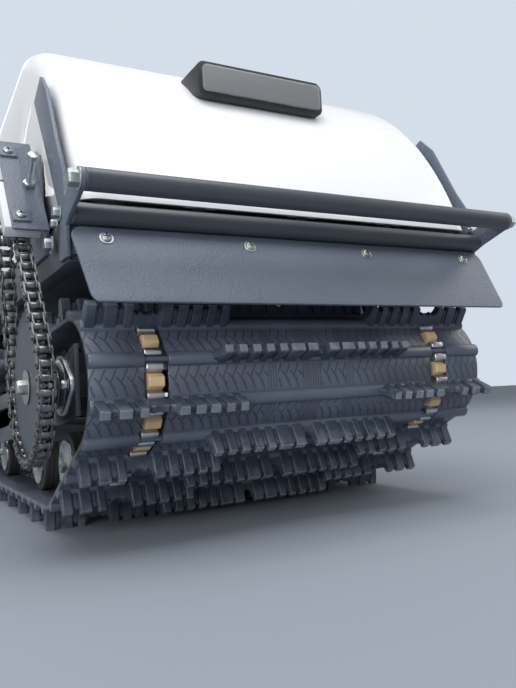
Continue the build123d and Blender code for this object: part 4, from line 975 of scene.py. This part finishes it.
def before_strand(up, out):
    """Point so far up the line of the chain's front strand and so far before it, and the way outward.

    That strand is the loop's last straight. It runs down to the large sprocket, and a pad's place may
    lie past its upper end.
    """
    rows, total = chain_loop()[0]
    start, heading, _bend, y, z = rows[-1]
    downward = np.array((cos(heading), sin(heading)))
    outward = np.array((sin(heading), -cos(heading)))
    return (y, z) + (total - start - up) * downward + out * outward, outward


def make_fasteners():
    """Bolts on brackets and bar ends, and the domed cross-recess screws of flap and chain cover."""
    skins = []
    bar_y, bar_z = middle("bumper_top_bar")[1:]
    hinge_x, hinge_y, hinge_z = HINGE_BOLT
    for side in (-1.0, 1.0):
        skins += hex_bolt((side * BRACKET_FACE, bar_y, bar_z), (side, 0, 0), 17.0, 12.5)
        for y, z, across in BRACKET_BOLTS:
            skins += hex_bolt((side * BRACKET_FACE, y, z), (side, 0, 0), across, across * 0.85)
        skins += hex_bolt((side * hinge_x, hinge_y, hinge_z), (-side, 0, 0), 8.0, 6.5)
    down = FLAP_FOOT - FLAP_TOP
    y, z = FLAP_TOP + SCREW_SHARE * down
    front = np.array((0.0, down[1], -down[0])) / np.linalg.norm(down)
    for x in FLAP_SCREWS:
        origin = np.array((x, y, z)) + front * 0.2
        skins.append(head(SCREW_WASHER, 32, origin, front))
        skins += pan_screw(origin + front * 1.0, front, 6.2)
    for up in PAD_PLACES:
        place, outward = before_strand(up, PAD_FACE)
        skins += pan_screw((PAD_X, *place), (0.0, *outward), 6.4)
    new_piece("body_fasteners", skins, "bolt", angle=35)


# Nodes that have pieces of their own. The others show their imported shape, with edges rounded over.
REBUILT = (
    "track", "track_clips", "drive_sprockets", "drive_shaft", "shaft_bearings", "road_rollers",
    "roller_hub_caps", "rear_idlers", "drive_chain", "chain_sprockets", "cross_shaft",
    "bumper_top_bar", "bumper_lower_bar",
)
EDGE = 0.8
OWN_EDGE = {
    "wheel_axles": 0.6, "chain_cover": 0.6, "tension_bolt": 0.4, "engine_floor": 0.6,
    "rear_flap": 0.6, "slotted_strip": 0.5, "front_flap": 0.6, "hood": 1.0, "hood_buffers": 1.0,
    "headlight_pod": 1.5, "headlight_lens": 1.0, "engine_block": 4.0, "hand_grips": 1.5,
    "control_console": 2.0, "hitch_pin": 0.5, "tow_coupler": 1.5,
}
OWN_FINISH = {"engine_block": "casting", "hand_grips": "grip"}


def make_dressed():
    """Plates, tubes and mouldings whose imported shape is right: edges rounded, coated or moulded."""
    for node, slot in SLOT_OF.items():
        if node not in REBUILT:
            softened(node, OWN_EDGE.get(node, EDGE), FINISHES[OWN_FINISH.get(node, slot)])
    for node, part in NODES.items():
        part.data.materials.clear()
        part.data.materials.append(FINISHES[SLOT_OF[node]])


# Stage


FLOOR_REACH = 14000.0
DAYLIGHT = (0.92, 0.96, 1.0, 1.0)
DAYLIGHT_STRENGTH = 0.46
# Lamps by name, place in m, turn in degrees, size in m and power in W.
LAMPS = (
    ("soft_above", (-0.4, -1.0, 3.2), (17.0, -6.0, 0.0), (3.2, 2.4), 96.0),
    ("soft_front", (-2.6, -2.8, 1.1), (78.0, 0.0, -42.0), (2.4, 1.8), 70.0),
    ("soft_side", (3.2, -0.6, 1.8), (66.0, 0.0, 78.0), (2.4, 2.0), 26.0),
    ("soft_back", (0.6, 3.4, 2.0), (64.0, 0.0, 170.0), (2.6, 2.0), 34.0),
)
CAMERA_PLACE = (-0.5099, -1.5001, 0.1768)
CAMERA_TURNS = ((-29.457, "Z"), (94.105, "X"), (-3.409, "Z"))
LENS = 36.1


def make_stage():
    """Floor, surroundings, large soft lamps and the photograph's camera."""
    scene = bpy.context.scene
    scene.view_settings.view_transform = "Standard"
    tones = scene.snow_tow_colours
    across, back = np.meshgrid(np.linspace(-1, 1, 9), np.linspace(-1, 1, 9))
    points = np.stack((across.ravel() * FLOOR_REACH, back.ravel() * FLOOR_REACH, np.zeros(81)), -1)
    corner = (np.arange(8)[:, None] * 9 + np.arange(8)).ravel()
    quads = np.stack((corner, corner + 1, corner + 10, corner + 9), -1)
    mesh = bpy.data.meshes.new("floor")
    mesh.from_pydata(points * MM, [], quads.tolist())
    finish = Finish("plain_floor", tones.floor, 0.75)
    finish.mottled(900.0, 0.01)
    mesh.materials.append(finish.material)
    in_scene("floor", mesh)

    world = bpy.data.worlds.new("surroundings")
    scene.world = world
    world.use_nodes = True
    tree = world.node_tree
    shade = tree.nodes["Background"]
    shade.inputs["Color"].default_value = DAYLIGHT
    shade.inputs["Strength"].default_value = DAYLIGHT_STRENGTH
    seen = tree.nodes.new("ShaderNodeBackground")
    seen.inputs["Color"].default_value = (*tones.backdrop, 1.0)
    path = tree.nodes.new("ShaderNodeLightPath")
    either = tree.nodes.new("ShaderNodeMath")
    either.operation = "MAXIMUM"
    mix = tree.nodes.new("ShaderNodeMixShader")
    link = tree.links.new
    link(path.outputs["Is Camera Ray"], either.inputs[0])
    link(path.outputs["Is Transmission Ray"], either.inputs[1])
    link(either.outputs[0], mix.inputs[0])
    link(shade.outputs[0], mix.inputs[1])
    link(seen.outputs[0], mix.inputs[2])
    link(mix.outputs[0], tree.nodes["World Output"].inputs["Surface"])

    for name, place, turn, size, power in LAMPS:
        lamp = bpy.data.lights.new(name, "AREA")
        lamp.shape = "RECTANGLE"
        lamp.size, lamp.size_y = size
        lamp.energy = power
        holder = in_scene(name, lamp)
        holder.location = place
        holder.rotation_euler = [radians(part) for part in turn]

    camera = bpy.data.cameras.new("photo_camera")
    camera.lens = LENS
    camera.sensor_width = 36.0
    camera.clip_end = 60.0
    holder = in_scene("photo_camera", camera)
    placed = Matrix.Translation(CAMERA_PLACE)
    for angle, axis in CAMERA_TURNS:
        placed = placed @ Matrix.Rotation(radians(angle), 4, axis)
    holder.matrix_world = placed
    scene.camera = holder


# Add-on


class SnowTowSizes(bpy.types.PropertyGroup):
    """Sizes that a user may change."""

    lug_height: FloatProperty(
        name="Lug height", description="Height of the belt's lugs", default=LUG_HEIGHT * MM, unit="LENGTH"
    )


def tone(name, description, default):
    """A colour that a user may change."""
    return FloatVectorProperty(name=name, description=description, default=default, subtype="COLOR")


class SnowTowColours(bpy.types.PropertyGroup):
    """Colours that a user may change."""

    belt: tone("Belt", "Belt and rod ridges", (0.085, 0.1, 0.138))
    rubber: tone("Lugs", "Lug rubber", (0.036, 0.047, 0.068))
    dust: tone("Dust", "Dust on the lug tips", (0.21, 0.235, 0.275))
    zinc: tone("Zinc", "Plated clips and bearings", (0.55, 0.57, 0.59))
    bolts: tone("Bolts", "Bolts, screws and caps", (0.4, 0.425, 0.42))
    disc: tone("Chain discs", "Blued chain sprockets", (0.052, 0.062, 0.084))
    black_coat: tone("Black coat", "Bars and frame", (0.05, 0.057, 0.07))
    slate_coat: tone("Slate coat", "Flap, brackets and deck", (0.098, 0.118, 0.158))
    cast_plastic: tone("Cast plastic", "Drive wheels", (0.62, 0.44, 0.255))
    shell: tone("Hood", "Gloss hood", (0.8, 0.81, 0.83))
    floor: tone("Floor", "Studio floor", (0.24, 0.27, 0.315))
    backdrop: tone("Backdrop", "Surroundings", (0.66, 0.73, 0.82))


class SNOWTOW_OT_finishes(bpy.types.Operator):
    """Makes the node materials"""

    bl_idname = "snow_tow.finishes"
    bl_label = "Finishes"

    def execute(self, context):
        make_finishes()
        return {"FINISHED"}


class SNOWTOW_OT_belt(bpy.types.Operator):
    """Builds the belt with its lugs and clips"""

    bl_idname = "snow_tow.belt"
    bl_label = "Belt, lugs and clips"

    def execute(self, context):
        make_belt()
        make_clips()
        return {"FINISHED"}


class SNOWTOW_OT_wheels(bpy.types.Operator):
    """Builds the drive wheels, road rollers, idlers and bearings"""

    bl_idname = "snow_tow.wheels"
    bl_label = "Wheels and bearings"

    def execute(self, context):
        make_drive_wheels()
        make_rollers()
        make_bearings()
        return {"FINISHED"}


class SNOWTOW_OT_chain(bpy.types.Operator):
    """Builds the roller chain, its discs and the shafts"""

    bl_idname = "snow_tow.chain"
    bl_label = "Chain and shafts"

    def execute(self, context):
        make_chain()
        make_shafts()
        return {"FINISHED"}


class SNOWTOW_OT_front(bpy.types.Operator):
    """Builds the front bars and the fasteners"""

    bl_idname = "snow_tow.front"
    bl_label = "Bars and fasteners"

    def execute(self, context):
        make_bars()
        make_fasteners()
        return {"FINISHED"}


class SNOWTOW_OT_body(bpy.types.Operator):
    """Dresses the plates, tubes and mouldings"""

    bl_idname = "snow_tow.body"
    bl_label = "Plates, tubes and mouldings"

    def execute(self, context):
        make_dressed()
        return {"FINISHED"}


class SNOWTOW_OT_stage(bpy.types.Operator):
    """Builds the floor, lamps and camera"""

    bl_idname = "snow_tow.stage"
    bl_label = "Stage"

    def execute(self, context):
        make_stage()
        return {"FINISHED"}


OPERATORS = (
    SNOWTOW_OT_finishes, SNOWTOW_OT_belt, SNOWTOW_OT_wheels, SNOWTOW_OT_chain, SNOWTOW_OT_front,
    SNOWTOW_OT_body, SNOWTOW_OT_stage,
)


class SNOWTOW_PT_panel(bpy.types.Panel):
    """Lists the sizes, the colours and the operators"""

    bl_idname = "SNOWTOW_PT_panel"
    bl_label = "Snow tow"
    bl_space_type = "VIEW_3D"
    bl_region_type = "UI"
    bl_category = "Snow tow"

    def draw(self, context):
        for group in (context.scene.snow_tow_sizes, context.scene.snow_tow_colours):
            for name in group.bl_rna.properties.keys():
                if name not in ("rna_type", "name"):
                    self.layout.prop(group, name)
        for operator in OPERATORS:
            self.layout.operator(operator.bl_idname)


CLASSES = (SnowTowSizes, SnowTowColours, *OPERATORS, SNOWTOW_PT_panel)


def register():
    """Adds the classes and their settings to Blender."""
    for kind in CLASSES:
        bpy.utils.register_class(kind)
    bpy.types.Scene.snow_tow_sizes = PointerProperty(type=SnowTowSizes)
    bpy.types.Scene.snow_tow_colours = PointerProperty(type=SnowTowColours)


def unregister():
    """Takes them out again."""
    del bpy.types.Scene.snow_tow_colours
    del bpy.types.Scene.snow_tow_sizes
    for kind in reversed(CLASSES):
        bpy.utils.unregister_class(kind)


def main():
    """Builds the whole scene."""
    register()
    for operator in OPERATORS:
        group, name = operator.bl_idname.split(".")
        if getattr(getattr(bpy.ops, group), name)() != {"FINISHED"}:
            raise RuntimeError(operator.bl_label + " didn't finish")


if __name__ == "__main__":
    main()
